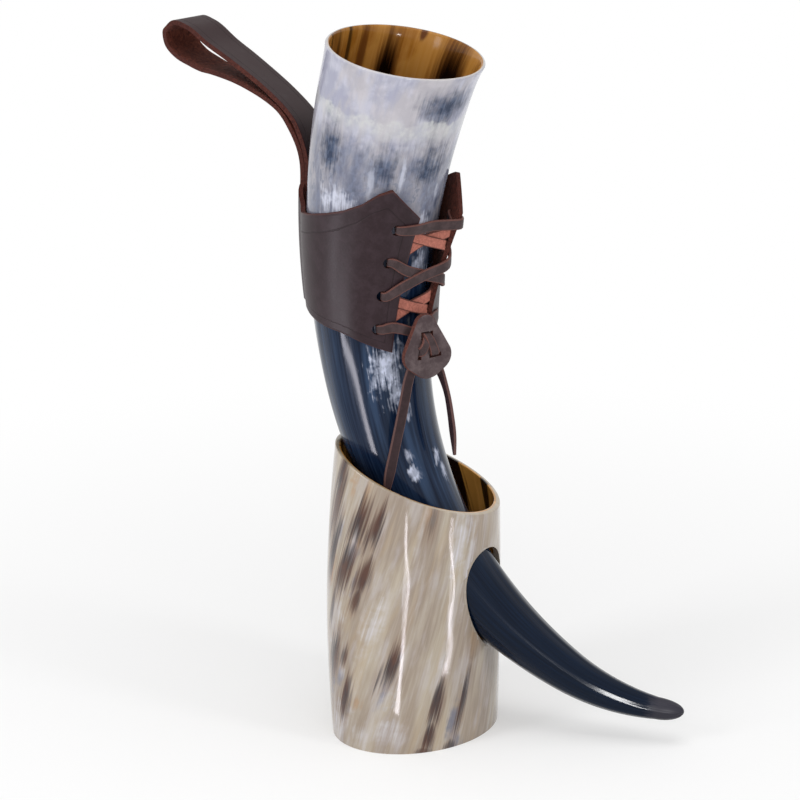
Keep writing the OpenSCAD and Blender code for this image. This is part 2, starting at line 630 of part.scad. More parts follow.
// A tail twists over its first steps until its width lies a given way
twist_steps = 3;
left_way = [0.8, 0.6, 0];
right_way = [0.6, -0.8, 0];
module tail(points, way) {
    n = len(points) - 1;
    ribbon([for (i = [0:n]) stop(points[i], mix(toggle_u, way, ease(i / twist_steps)),
        lace_w * (i == n ? 0.3 : 1))], 2);
}
module lace_tail_left() {
    color("sienna")
        on_horn()
            tail(left_tail, left_way);
}
module lace_tail_right() {
    color("sienna")
        on_horn()
            tail(right_tail, right_way);
}

drinking_horn();
horn_stand();
holster();
loop_rivets();
lace();
lace_toggle();
lace_tail_left();
lace_tail_right();
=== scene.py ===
# %% [markdown]
# # A drinking horn in a belt holster, standing in a horn stand
# The set has two polished cattle horns and one piece of saddle leather. The long horn is the cup.
# The short one, sawn off at a slant and pierced at the side, is its stand. The leather is laced
# round the cup and runs on into a belt loop. All lengths are in metres, in the model's own frame.

# %% Load the frame
from math import asin, atan2, cos, degrees, hypot, pi, radians, sin, sqrt, tan

import bmesh
import bpy
import numpy as np
from mathutils import Matrix, Vector


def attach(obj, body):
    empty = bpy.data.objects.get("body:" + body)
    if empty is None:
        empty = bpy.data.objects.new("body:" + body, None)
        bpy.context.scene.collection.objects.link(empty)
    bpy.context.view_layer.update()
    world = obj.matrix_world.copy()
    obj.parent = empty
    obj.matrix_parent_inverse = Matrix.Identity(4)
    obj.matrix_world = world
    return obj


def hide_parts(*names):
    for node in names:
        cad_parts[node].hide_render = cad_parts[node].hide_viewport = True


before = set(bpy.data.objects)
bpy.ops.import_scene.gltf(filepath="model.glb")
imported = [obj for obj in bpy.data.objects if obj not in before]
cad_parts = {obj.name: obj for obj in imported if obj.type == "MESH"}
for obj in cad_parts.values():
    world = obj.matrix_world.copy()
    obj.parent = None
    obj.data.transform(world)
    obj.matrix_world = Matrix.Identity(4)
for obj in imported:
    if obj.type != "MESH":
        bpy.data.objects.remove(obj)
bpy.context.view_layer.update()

# %% [markdown]
# ## The camera
# The photograph was taken with a long lens from a little above the rim, turned ten degrees to the
# object's right. A long lens far away keeps the curve of the horn free of perspective.

# %% Camera
camera_turn, camera_drop = radians(10), radians(19.5)
camera_data = bpy.data.cameras.new("studio_camera")
camera_data.sensor_width = 36
camera_data.lens = 215.2
camera = bpy.data.objects.new("studio_camera", camera_data)
bpy.context.scene.collection.objects.link(camera)
camera.location = (0.3517, -2.0495, 0.8948)
camera.rotation_euler = (pi / 2 - camera_drop, 0, camera_turn)
bpy.context.scene.camera = camera
print("camera", round(camera.location.length, 3), "m from the foot of the stand")

# %% [markdown]
# ## The horn's middle line
# A horn grows as a spiral, so its curve tightens toward the tip. Three arcs that meet without a
# kink follow it. Each place on it is named by its distance from the mouth along the curve, and the
# heading there is the slope of the line from straight down, toward the tip's side.

# %% Middle line from three arcs
stand_at = Vector((-0.0012, -0.0059, 0))
horn_at = stand_at + Vector((0, -0.005, 0))
mouth_len, upper_bend_len, lower_bend_len, tip_len = 0.1565, 0.1255, 0.045, 0.0548
mouth_bend_r, main_bend_r, tip_bend_r = 0.345, 0.202, 0.103
seat = Vector((0.0377, 0, 0.0619))
seat_heading = radians(43.9)
main_end = mouth_len + upper_bend_len + lower_bend_len
horn_len = main_end + tip_len


def inward(h):
    return Vector((cos(h), 0, sin(h)))


head_a = seat_heading - upper_bend_len / main_bend_r
head_b = seat_heading + lower_bend_len / main_bend_r
centre_main = seat + main_bend_r * inward(seat_heading)
centre_mouth = centre_main + (mouth_bend_r - main_bend_r) * inward(head_a)
centre_tip = centre_main + (tip_bend_r - main_bend_r) * inward(head_b)


def heading(s):
    if s < mouth_len:
        return head_a - (mouth_len - s) / mouth_bend_r
    if s < main_end:
        return head_a + (s - mouth_len) / main_bend_r
    return head_b + (s - main_end) / tip_bend_r


def middle(s):
    if s < mouth_len:
        return centre_mouth - mouth_bend_r * inward(heading(s))
    if s < main_end:
        return centre_main - main_bend_r * inward(heading(s))
    return centre_tip - tip_bend_r * inward(heading(s))


print("horn length along the curve", round(horn_len, 4))

# %% [markdown]
# ## The horn's section
# The radius falls a little slower than a straight cone's, the mouth is slightly deeper across the
# bend than along it, and the rings near the mouth turn to the slanted cut.

# %% Radius, wall and places on the surface
mouth_r, lip_flare, lip_flare_len, tip_r = 0.0355, 0.0008, 0.014, 0.0038
taper_power, mouth_depth_share = 0.83, 0.11
mouth_cut_tilt, cut_fade_len = radians(8.9), 0.040
lip_wall, deep_wall, hollow_share, hollow_nose = 0.002, 0.0045, 0.62, 0.022
hollow_end = hollow_share * horn_len
Y = Vector((0, 1, 0))
Z = Vector((0, 0, 1))


def steps(a, b, n):
    """Evenly spaced plain numbers."""
    return np.linspace(a, b, n).tolist()


def clamp01(t):
    return max(0.0, min(1.0, t))


def ease(t):
    t = clamp01(t)
    return t * t * (3 - 2 * t)


def mix(a, b, t):
    return a + (b - a) * t


def horn_r(s):
    share = max(0.0, 1 - s / horn_len)
    return tip_r + (mouth_r - tip_r) * share ** taper_power + lip_flare * clamp01(1 - s / lip_flare_len) ** 2


def depth_k(s):
    return 1 + mouth_depth_share * (1 - s / horn_len)


def hollow_r(s):
    return horn_r(s) - mix(lip_wall, deep_wall, clamp01(s / hollow_end))


def ring_slope(s):
    return heading(s) + (-mouth_cut_tilt - heading(0)) * ease(1 - s / cut_fade_len)


def off_horn(s, a, off):
    """A place off the horn's outer face by a distance, at the angle a round it."""
    out = (horn_r(s) + off) * cos(a) * inward(ring_slope(s))
    return horn_at + middle(s) + out + (horn_r(s) * depth_k(s) + off) * sin(a) * Y


def horn_ring(s, r, a):
    ring_way = cos(a) * inward(ring_slope(s)) + depth_k(s) * sin(a) * Y
    return horn_at + middle(s) + r * ring_way


print("mouth", round(2 * horn_r(0), 4), "across, hollow to", round(hollow_end, 4))

# %% [markdown]
# ## Making a tube ring by ring
# Hollow forms such as the horn and its stand are drawn out like glass: one circle, extruded again
# and again, with each new ring put in its own place. Every vertex also keeps a note of where it
# lies round and along the piece, so that the grain in the materials can follow the bend.

# %% Helpers for tubes and finished pieces
def smooth(mesh, sharp_angle):
    mesh.shade_smooth()
    mesh.set_sharp_from_angle(angle=radians(sharp_angle))


def new_object(name, bm):
    mesh = bpy.data.meshes.new(name)
    bm.to_mesh(mesh)
    bm.free()
    piece = bpy.data.objects.new(name, mesh)
    bpy.context.scene.collection.objects.link(piece)
    return piece


def new_piece(name, bm, sharp_angle=40):
    bmesh.ops.recalc_face_normals(bm, faces=bm.faces)
    piece = new_object(name, bm)
    smooth(piece.data, sharp_angle)
    return piece


def next_row(bm, row):
    """Extrude a row of vertices once. The new row comes back in the same order."""
    here = set(row)
    edges = [e for e in bm.edges if e.verts[0] in here and e.verts[1] in here]
    made = bmesh.ops.extrude_edge_only(bm, edges=edges)["geom"]
    new = [v for v in made if isinstance(v, bmesh.types.BMVert)]
    # Each new vertex belongs to the old one that its side edge leads to
    pair = {e.other_vert(v): v for v in new for e in v.link_edges if e.other_vert(v) in here}
    return [pair[v] for v in row]


def draw_tube(rings, sides, place, note, inner=None, closed=False):
    """A bmesh tube. place, note and inner give each vertex its place, its grain and its side."""
    bm = bmesh.new()
    layer = bm.verts.layers.float_vector.new("grain")
    inner_layer = bm.verts.layers.float.new("inner")
    loop = bmesh.ops.create_circle(bm, segments=sides, radius=1)["verts"]
    for i, ring in enumerate(rings):
        if i:
            loop = next_row(bm, loop)
        for j, v in enumerate(loop):
            v.co = place(ring, j)
            v[layer] = note(ring, j)
            v[inner_layer] = inner(ring) if inner else 0.0
    ends = [e for e in bm.edges if e.is_boundary]
    if closed:
        bmesh.ops.bridge_loops(bm, edges=ends)
    else:
        bmesh.ops.holes_fill(bm, edges=ends, sides=0)
    return bm


def finish_piece(piece, body, slot, materials, *nodes):
    while len(piece.data.materials) < len(materials):
        piece.data.materials.append(None)
    for i, m in enumerate(materials):
        piece.data.materials[i] = m
    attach(piece, body)
    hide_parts(*nodes)
    print(piece.name, len(piece.data.polygons), "faces")


def cut_away(piece, cutter_bm, title):
    """Cut a shape out of the piece, and take all its modifiers into its mesh."""
    cutter = new_piece("cutter", cutter_bm)
    cut = piece.modifiers.new(title, "BOOLEAN")
    cut.object = cutter
    cut.solver = "EXACT"
    graph = bpy.context.evaluated_depsgraph_get()
    mesh = bpy.data.meshes.new_from_object(piece.evaluated_get(graph))
    piece.modifiers.clear()
    piece.data = mesh
    bpy.data.objects.remove(cutter)


# %% [markdown]
# ## The drinking horn
# One skin runs from the bottom of the hollow up the inside, over the rounded lip and down the
# outside to the blunt tip, as the real horn's wall does.

# %% Horn shell
horn_sides, blunt_len = 96, 0.009
nose_rows, bore_rows, lip_rows, outer_rows, blunt_rows = 12, 60, 7, 118, 12
nose_at, blunt_at, lip_low = hollow_end - hollow_nose, horn_len - blunt_len, lip_wall * 0.6
# Each ring is its distance from the mouth, its radius, and 0 outside to 1 inside
nose = [(nose_at + hollow_nose * cos(t), hollow_r(nose_at) * sin(t), 1)
        for t in steps(0.03, pi / 2, nose_rows)]
bore = [(s, hollow_r(s), 1) for s in steps(nose_at, lip_low, bore_rows)[1:]]
lip = [(lip_wall * (0.5 - 0.5 * sin(t)), horn_r(0) - lip_wall * (0.5 + 0.5 * cos(t)), 0.5 + 0.5 * cos(t))
       for t in steps(0.3, pi - 0.3, lip_rows)]
outer = [(s, horn_r(s), 0) for s in steps(lip_low, blunt_at, outer_rows)]
blunt = [(blunt_at + (blunt_len + tip_r) * sin(t), horn_r(blunt_at) * cos(t), 0)
         for t in steps(0.1, 1.53, blunt_rows)]
horn_rings = nose + bore + lip + outer + blunt
horn_step = 2 * pi / horn_sides
horn_bm = draw_tube(
    horn_rings, horn_sides,
    lambda ring, j: horn_ring(ring[0], ring[1], horn_step * j),
    lambda ring, j: Vector((cos(horn_step * j), sin(horn_step * j), ring[0])),
    lambda ring: ring[2])
horn = new_piece("horn_cup", horn_bm, 60)
print("horn", len(horn_rings), "rings of", horn_sides)

# %% [markdown]
# ## The stand
# The stand is a slice of a second horn: an oval tube with a slightly barrelled wall, cut level at
# the foot and at a slant at the rim. A round hole, bored downward at the side, lets the tip out.

# %% Stand wall
stand_a, stand_b, stand_turn, stand_wall = 0.0446, 0.0363, radians(56), 0.0029
belly_z, stand_bow, barrel_r = 0.062, 0.0009, 1.1
rim_z, rim_slant, rim_fall, rim_round = 0.1255, radians(25), radians(5.5), 0.0007
stand_sides, stand_rows, rim_rows, rim_power = 128, 70, 9, 0.6


def rim_at(x, y):
    return rim_z - tan(rim_slant) * (x * cos(rim_fall) + y * sin(rim_fall))


def stand_point(ring, j):
    share, inset, drop = ring
    a = 2 * pi * j / stand_sides

    def at(z):
        lost = barrel_r - sqrt(barrel_r ** 2 - (z - belly_z) ** 2) + inset
        x, y = (stand_a - lost) * cos(a), (stand_b - lost) * sin(a)
        return Vector((x * cos(stand_turn) - y * sin(stand_turn) - stand_bow * sin(pi / 2 * z / belly_z),
                       x * sin(stand_turn) + y * cos(stand_turn), z))
    top = rim_at(*at(rim_z)[:2]) - drop
    return stand_at + at(mix(0.0, top, share) if share else 0.0)


def rim_ring(t):
    """One ring of the rounded rim, from the outside at t = 0 to the inside at t = pi."""
    side = 1 if t < pi / 2 else -1
    return (1, stand_wall / 2 * (1 - side * abs(cos(t)) ** rim_power), rim_round * (1 - sin(t) ** rim_power))


def stand_note(ring, j):
    p = stand_point(ring, j) - stand_at
    return Vector((p.x, p.y, 0)).normalized() + p.z * Z


# Each ring is its share of the height, its depth in the wall, and how far it lies under the rim
wall_shares = steps(0, 1, stand_rows)
stand_rings = ([(share, 0, rim_round) for share in wall_shares]
               + [rim_ring(t) for t in steps(0.12, pi - 0.12, rim_rows)]
               + [(share, stand_wall, rim_round) for share in wall_shares[::-1]])
stand_bm = draw_tube(stand_rings, stand_sides, stand_point, stand_note,
                     lambda ring: ring[1] / stand_wall, closed=True)
stand = new_piece("stand_tube", stand_bm, 50)
print("stand", len(stand_rings), "rings of", stand_sides)

# %% [markdown]
# The side hole is bored with a cutter cylinder. Its edge is then bevelled, because a horn worker
# always breaks a sawn edge.

# %% Side hole
side_hole_r, side_hole_dip, rest_gap, hole_edge = 0.0176, radians(44), 0.0003, 0.0006


def oval_reach(a):
    return 1 / sqrt((cos(a) / stand_a) ** 2 + (sin(a) / stand_b) ** 2)


outer_x = oval_reach(-stand_turn)
under_z = centre_main.z - sqrt((main_bend_r + horn_r(mouth_len + upper_bend_len)) ** 2
                               - (centre_main.x - outer_x) ** 2)
hole_at = stand_at + Vector((outer_x, horn_at.y - stand_at.y,
                             under_z - rest_gap + side_hole_r / cos(side_hole_dip)))
drill_turn = Matrix.Rotation(pi / 2 + side_hole_dip, 4, "Y")
drill_way = drill_turn.to_3x3() @ Z
drill_bm = bmesh.new()
bmesh.ops.create_cone(drill_bm, cap_ends=True, segments=96, radius1=side_hole_r, radius2=side_hole_r,
                      depth=2 * stand_b, matrix=Matrix.Translation(hole_at) @ drill_turn)
cut_away(stand, drill_bm, "side hole")
stand_bm = bmesh.new()
stand_bm.from_mesh(stand.data)


def on_hole(v):
    p = v.co - hole_at
    return abs((p - p.dot(drill_way) * drill_way).length - side_hole_r) < 0.00005


hole_edges = [e for e in stand_bm.edges if all(on_hole(v) for v in e.verts)
              and len(e.link_faces) == 2 and e.calc_face_angle() > radians(25)]
bmesh.ops.bevel(stand_bm, geom=hole_edges, offset=hole_edge, segments=3, profile=0.5,
                affect="EDGES", material=-1, clamp_overlap=True)
stand_bm.to_mesh(stand.data)
stand_bm.free()
smooth(stand.data, 35)
print("side hole edges", len(hole_edges))

# %% [markdown]
# ## The leather sleeve and belt loop
# One piece of leather makes the whole holster. Its front is laced, so it is flat where it is wide
# and springs off the horn at the far flap. Its back runs on up into a strap that turns over and
# comes back down inside the sleeve. A place on it is named by the angle b from the lacing gap and
# by the distance s from the horn's mouth.

# %% Where the leather lies
leather_t, sleeve_h, sleeve_top = 0.0021, 0.082, 0.054
lace_side, lace_slant, gap_half, loop_turn = -34.5, 26, 16, 8
side_gap, head_t, tongue_gap, rivet_fit = 0.0006, 0.0006, 0.0001, 0.0002
lace_w, lace_t, lace_gap = 0.005, 0.0013, 0.00025
spring_from, spring_share = 54, 0.95
flap_room = lace_t + 3 * lace_gap
back_room = rest_gap + head_t + rivet_fit + leather_t + tongue_gap
sleeve_mid = sleeve_top + sleeve_h / 2


def table(x, points):
    """The value at x on straight lines between the points."""
    return float(np.interp(x, [p[0] for p in points], [p[1] for p in points]))


def lift(b):
    """Room between horn and leather: more under the laced front and over the tongue at the back."""
    front, back = table(abs(b), [(45, 1), (72, 0)]), table(abs(b), [(144, 0), (160.2, 1)])
    return side_gap + (flap_room - side_gap) * ease(front) + (back_room - side_gap) * ease(back)


def leather_angle(b, s):
    slant = lace_slant * (sleeve_mid - s) / sleeve_h * (1 - abs(b) / 180)
    return radians(lace_side + b + slant + loop_turn * ease(abs(b) / 90 - 1))


def spring(b, s):
    """How far the far flap stands off the horn, as a share of the radius."""
    if b < 0 or b > spring_from:
        return 0.0
    less_below = mix(1, 0.3, ease((s - sleeve_top) / sleeve_h))
    return (1 / cos(radians(spring_from - b)) - 1) * spring_share * less_below


def leather_point(b, s, off=0.0):
    room = lift(b) + leather_t / 2
    return off_horn(s, leather_angle(b, s), room + off + (horn_r(s) + room) * spring(b, s))


# Each pair is a share of the way from the gap round to the back, and a share of the sleeve's height
top_shares = [(0.089, 0.177), (0.211, 0), (0.278, 0.049), (0.345, 0.113), (0.42, 0.173), (0.51, 0.22),
              (0.62, 0.265), (0.74, 0.3), (0.81, 0.29), (0.86, 0.25), (0.9, 0.21), (1, 0.21)]
near_top_shares = [(0.089, 0.177), (0.243, 0), (0.29, 0.037)] + top_shares[3:]
bottom_shares = [(0.089, 0), (0.17, 0.04), (0.24, 0.076), (0.32, 0.116), (0.39, 0.134), (0.48, 0.15),
                 (0.68, 0.19), (1, 0.2)]


def top_s(b):
    return sleeve_top + sleeve_h * table(abs(b) / 180, near_top_shares if b < 0 else top_shares)


def bottom_s(b):
    return sleeve_top + sleeve_h * (1 - table(abs(b) / 180, bottom_shares))


print("sleeve height at the back", round(bottom_s(180) - top_s(180), 4))

# %% [markdown]
# The belt loop's route is a short list of points in the plane that it folds in: how far out it
# reaches, and how far it rises. A smooth curve goes through them. The strap also rolls a little,
# so that its far edge hangs lower.

# %% Route of the belt loop
loop_w, loop_reach, loop_rise, loop_roll, roll_fade = 0.022, 0.078, 0.063, radians(16), 0.7
blend_len, tongue_len = 0.024, 0.036
loop_shares = [(0, 0), (0, 0.08), (0.02, 0.21), (0.07, 0.35), (0.14, 0.46), (0.23, 0.53), (0.35, 0.59),
               (0.49, 0.64), (0.64, 0.67), (0.73, 0.68), (0.82, 0.71), (0.91, 0.75), (0.98, 0.82),
               (1, 0.91), (0.98, 0.95), (0.93, 1), (0.86, 0.99), (0.79, 0.96), (0.68, 0.88), (0.54, 0.8),
               (0.38, 0.7), (0.25, 0.61), (0.12, 0.5), (0.04, 0.4), (0, 0.29), (-0.03, 0.15),
               (-0.03, 0.04), (-0.03, 0)]
root_s = top_s(180)
loop_way = radians(lace_side + 180 + loop_turn)
loop_dir = Vector((cos(loop_way), sin(loop_way), 0))
loop_side = Vector((-sin(loop_way), cos(loop_way), 0))
loop_root = leather_point(180, root_s)
loop_half = degrees(asin(loop_w / 2 / (horn_r(sleeve_top) + back_room + leather_t / 2)))


def smooth_line(points, sub):
    """Catmull-Rom points through a list of vectors of any length."""
    p = [np.array(q, float) for q in points]
    n = len(p) - 1
    line = []
    for i in range(n):
        a, b, c, d = p[max(0, i - 1)], p[i], p[i + 1], p[min(n, i + 2)]
        for k in range(sub):
            t = k / sub
            line.append(0.5 * (2 * b + (c - a) * t + (2 * a - 5 * b + 4 * c - d) * t * t
                               + (3 * b - a - 3 * c + d) * t ** 3))
    return [q.tolist() for q in line + [p[n]]]


loop_route = smooth_line([(x * loop_reach, z * loop_rise) for x, z in loop_shares], 5)
print("belt loop's route", round(sum(hypot(c - a, d - b) for (a, b), (c, d)
                                     in zip(loop_route, loop_route[1:])), 4))


def strap_point(i, b):
    """Middle of the strap's thickness at a station of its route, at the angle b across it."""
    x, z = loop_route[i]
    w = (abs(b) - 180) * (1 if b > 0 else -1) / loop_half * loop_w / 2
    roll = loop_roll * ease(z / blend_len) * (1 - roll_fade * x / loop_reach)
    free = loop_root + x * loop_dir + z * Z + w * (cos(roll) * loop_side + sin(roll) * Z)
    going_out = i < len(loop_route) / 2
    near = leather_point(b, root_s - z, 0.0 if going_out else -leather_t - tongue_gap)
    return mix(near, free, ease(z / blend_len))


def tongue_point(share, b):
    return leather_point(b, root_s + tongue_len * share, -leather_t - tongue_gap)


# %% [markdown]
# A grid is laid over the sleeve, its top edge at the back is extruded step by step along the
# strap's route, and a Solidify modifier gives the leather its thickness. A UV map keeps two notes
# for the material: how far each corner is from the nearest edge, and whether it is on the strap.
# The lace holes are then punched with eight cutters.

# %% How far a place is from the leather's edge
side_columns, strap_half_columns, sleeve_rows, tongue_rows = 96, 8, 56, 16
half_angles = (steps(gap_half, 180 - loop_half, side_columns + 1)
               + steps(180 - loop_half, 180, strap_half_columns + 1)[1:])
angles = [-b for b in half_angles] + half_angles[-2::-1]
strap_columns = range(side_columns, len(angles) - side_columns)
crease_top, crease_front, crease_front_low = 0.0085, 0.0066, 0.0038
crease_bottom, crease_strap = 0.0037, 0.004


def sleeve_edge(b, s):
    """Distance from the sleeve's nearest edge, counted in that edge's own crease distances."""
    r = horn_r(s) + leather_t
    front_way = mix(crease_front, crease_front_low, clamp01((s - sleeve_top) / sleeve_h))
    ways = [(bottom_s(b) - s) / crease_bottom, radians(abs(b) - gap_half) * r / front_way]
    if abs(b) < 180 - loop_half:
        ways.append((s - top_s(b)) / crease_top)
    else:
        ways.append(hypot(radians(abs(b) - 180 + loop_half) * r, s - root_s) / crease_top)
    return max(0.0, min(ways))


print("sleeve columns", len(angles), "of which", len(strap_columns), "go on into the strap")

# %% Sleeve and strap as one sheet
strap_root_z = 0.24
holster_bm = bmesh.new()
bmesh.ops.create_grid(holster_bm, x_segments=len(angles) - 1, y_segments=sleeve_rows, size=1)
notes = holster_bm.verts.layers.float_vector.new("notes")
top_loop = {}
for v in holster_bm.verts:
    c = round((v.co.x + 1) / 2 * (len(angles) - 1))
    b = angles[c]
    s = mix(bottom_s(b), top_s(b), (v.co.y + 1) / 2)
    if v.co.y > 0.999 and c in strap_columns:
        top_loop[c] = v
    v[notes] = (sleeve_edge(b, s), 0, 0)
    v.co = leather_point(b, s)
row = [top_loop[c] for c in strap_columns]
stations = ([(strap_point, i) for i in range(1, len(loop_route))]
            + [(tongue_point, k / tongue_rows) for k in range(1, tongue_rows + 1)])
for point_at, k in stations:
    row = next_row(holster_bm, row)
    for c, v in zip(strap_columns, row):
        v.co = point_at(k, angles[c])
        from_side = (1 - abs(abs(angles[c]) - 180) / loop_half) * loop_w / 2
        v[notes] = (from_side / crease_strap, 1, 0)
edge_map = holster_bm.loops.layers.uv.new("edge")
for face in holster_bm.faces:
    for corner in face.loops:
        corner[edge_map].uv = corner.vert[notes].xy
holster_bm.normal_update()
centre = horn_at + middle(sleeve_mid)
low = [f for f in holster_bm.faces if f.calc_center_median().z < strap_root_z]
if sum(f.normal.dot(f.calc_center_median() - centre) for f in low) < 0:
    bmesh.ops.reverse_faces(holster_bm, faces=holster_bm.faces)
holster = new_object("holster_leather", holster_bm)
for slot_name in ("grain", "flesh", "edge"):
    holster.data.materials.append(bpy.data.materials.new("leather_" + slot_name))
thick = holster.modifiers.new("thickness", "SOLIDIFY")
thick.thickness = leather_t
thick.offset = 0
thick.use_even_offset = True
thick.material_offset = 1
thick.material_offset_rim = 2
print("sheet of the holster", len(holster.data.polygons), "faces before it gets its thickness")

# %% Lace holes
eyelet_half, eyelet_r, eyelet_first, eyelet_step = 32, 0.0025, 0.020, 0.0165
eyelets = [sleeve_top + eyelet_first + i * eyelet_step for i in range(4)]


def through_leather(b, s):
    """The place of a hole or a rivet in the leather, with its axis square to it."""
    p = leather_point(b, s)
    out = (leather_point(b, s, leather_t) - p).normalized()
    return Matrix.Translation(p) @ out.to_track_quat("Z", "Y").to_matrix().to_4x4()


punch_bm = bmesh.new()
for side in (-1, 1):
    for s in eyelets:
        bmesh.ops.create_cone(punch_bm, cap_ends=True, segments=32, radius1=eyelet_r, radius2=eyelet_r,
                              depth=3 * leather_t, matrix=through_leather(side * eyelet_half, s))
cut_away(holster, punch_bm, "lace holes")
smooth(holster.data, 50)
print("holster corners", len(holster.data.vertices))

# %% [markdown]
# ## Flat leather lace
# The lace is a flat strip about four times as wide as it is thick. It is drawn as a tube of
# sixteen sides whose rings are turned so that the strip's width lies the given way.

# %% Ribbon helper
lace_sides, lace_corner = 16, 0.3 * lace_t


def ribbon(name, stops, sub, grain_up):
    """A flat strip through stops of (place, way of its width, width), and its middle line.

    grain_up gives 1 or -1 for a stop, and tells on which face of the strip the grain side lies.
    """
    line = smooth_line([list(p) + list(w) + [width] for p, w, width in stops], sub)
    places = [Vector(q[:3]) for q in line]
    n = len(line)
    per_corner = lace_sides // 4

    def place(i, j):
        t = (places[min(n - 1, i + 1)] - places[max(0, i - 1)]).normalized()
        way = Vector(line[i][3:6])
        w = (way - way.dot(t) * t).normalized()
        quarter, k = divmod(j, per_corner)
        turn = pi / 2 * k / (per_corner - 1)
        sx, sy = [(1, 1), (-1, 1), (-1, -1), (1, -1)][quarter]
        if quarter % 2:
            turn = pi / 2 - turn
        px = sx * (line[i][6] / 2 - lace_corner * (1 - cos(turn)))
        py = sy * (lace_t / 2 - lace_corner * (1 - sin(turn)))
        return places[i] + px * w + py * w.cross(t)

    def note(i, j):
        quarter = j // per_corner
        return Vector((1 if quarter in (0, 3) else -1, (1 if quarter < 2 else -1) * grain_up(i / sub), i / n))

    return new_piece(name, draw_tube(list(range(n)), lace_sides, place, note), 50), places


print("lace", lace_w, "wide,", lace_t, "thick")

# %% [markdown]
# The lace is laid by stops. It starts under the toggle, goes over the near flap into the top hole,
# crosses the gap down to the lowest pair of holes and comes back up, over and under itself in
# turn. Where it goes through a hole it is squeezed narrow.

# %% Sizes of the lace's run
toggle_side = radians(-50)
toggle_n = Vector((cos(toggle_side), sin(toggle_side), 0))
toggle_u = Vector((-sin(toggle_side), cos(toggle_side), 0))
toggle_w, toggle_h, toggle_t = 0.025, 0.031, 0.0026
toggle_s, toggle_z, toggle_out, toggle_shift = 0.130, 0.1971, 0.037, 0.0072
toggle_c = (Vector((horn_at.x + middle(toggle_s).x, horn_at.y, toggle_z))
            + toggle_out * toggle_n + toggle_shift * toggle_u)
top_slit, left_slit, right_slit = (-0.02, 0.17), (-0.16, -0.09), (0.15, -0.15)
left_slit_turn, right_slit_turn = radians(80), radians(3)
left_w = cos(left_slit_turn) * toggle_u + sin(left_slit_turn) * Z
neck_w = 1.5 * eyelet_r
out_off = leather_t / 2 + lace_gap + lace_t / 2
face_out = toggle_t / 2 + lace_gap + lace_t / 2
over_h = flap_room + leather_t + lace_gap + lace_t / 2
step_h = lace_t + lace_gap
low_h = lace_t / 2 + 4 * lace_gap
high_h = low_h + step_h
by_hole_b = eyelet_half - 4
at_gap, past_gap = 0.27, 0.73
print("toggle at", [round(v, 4) for v in toggle_c])


# %% Stops of the lace
def axial(s):
    return (middle(s - 0.002) - middle(s + 0.002)).normalized()


def on_leather(b, s, off=0.0, width=lace_w):
    return (leather_point(b, s, off), axial(s), width)


def mid_gap(s, h):
    return (off_horn(s, leather_angle(0, s), h), axial(s), lace_w)


def inner_run(side, s0, s1, h):
    """From inside at one hole, under both flaps, to inside at the other."""
    width = mix(neck_w, lace_w, 0.3)
    return [on_leather(side * eyelet_half, s0, 0, neck_w),
            on_leather(side * by_hole_b, s0, -out_off, width),
            on_leather(side * gap_half, mix(s0, s1, at_gap), -out_off),
            mid_gap(mix(s0, s1, 0.5), h),
            on_leather(-side * gap_half, mix(s0, s1, past_gap), -out_off),
            on_leather(-side * by_hole_b, s1, -out_off, width),
            on_leather(-side * eyelet_half, s1, 0, neck_w)]


def outer_run(side, s0, s1, extra):
    """From outside at one hole, over the flaps, to outside at the other."""
    width = mix(neck_w, lace_w, 0.5)
    return [on_leather(side * by_hole_b, s0, out_off, width),
            on_leather(side * gap_half, mix(s0, s1, at_gap), out_off + extra * 0.4),
            mid_gap(mix(s0, s1, 0.5), over_h + extra),
            on_leather(-side * gap_half, mix(s0, s1, past_gap), out_off + extra * 0.4),
            on_leather(-side * by_hole_b, s1, out_off, width)]


print("holes at", [round(s, 4) for s in eyelets], "from the mouth")


# %% Through the toggle
def on_toggle(at, out):
    return toggle_c + at[0] * toggle_w * toggle_u + at[1] * toggle_h * Z + out * toggle_n


def between(a, b, t):
    return (mix(a[0], b[0], t), mix(a[1], b[1], t))


def toggle_run(side, tail):
    """From a free end, up through the toggle's slits, to outside at the top hole."""
    low, w = (left_slit, left_w) if side < 0 else (right_slit, toggle_u)
    lean = side * step_h / toggle_h / 2
    end = (tail[0] - tail[1]).normalized()
    top = (top_slit[0], top_slit[1] + lean)
    near_top = between(low, top_slit, 0.75)
    u = side * toggle_u
    return [(tail[0] + 0.00015 * end, toggle_u, lace_w),
            (tail[0] + lace_t * end, toggle_u, lace_w),
            (on_toggle(low, -face_out), w, neck_w),
            (on_toggle(low, 0), w, neck_w),
            (on_toggle(between(low, top_slit, 0.2), face_out), mix(w, u, 0.4), mix(neck_w, lace_w, 0.5)),
            (on_toggle((near_top[0], near_top[1] + lean), face_out), u, neck_w),
            (on_toggle(top, 0), u, neck_w),
            (on_toggle(top, -face_out), u + Z, neck_w),
            on_leather(side * gap_half, eyelets[3], out_off),
            on_leather(side * by_hole_b, eyelets[3], out_off, mix(neck_w, lace_w, 0.5))]


def by_hand(points):
    """Places given in millimetres from the foot of the horn's own plane."""
    return [horn_at + Vector(p) / 1000 for p in points]


left_tail = by_hand([(4.6, -25, 190.6), (3.6, -25.8, 186.5), (2, -26.4, 181), (0.2, -26.4, 171),
                     (-2.2, -26.4, 158), (-4.6, -26.4, 146), (-6.9, -26.4, 134), (-8.7, -26.4, 122)])
right_tail = by_hand([(11.6, -18.8, 188.8), (12.9, -16.7, 185.5), (15, -15.2, 181), (17.7, -14.4, 171.5),
                      (19.4, -14.4, 161.5), (20.5, -14.4, 152), (21.3, -14.4, 142)])
print("free ends start at", left_tail[0], "and", right_tail[0])

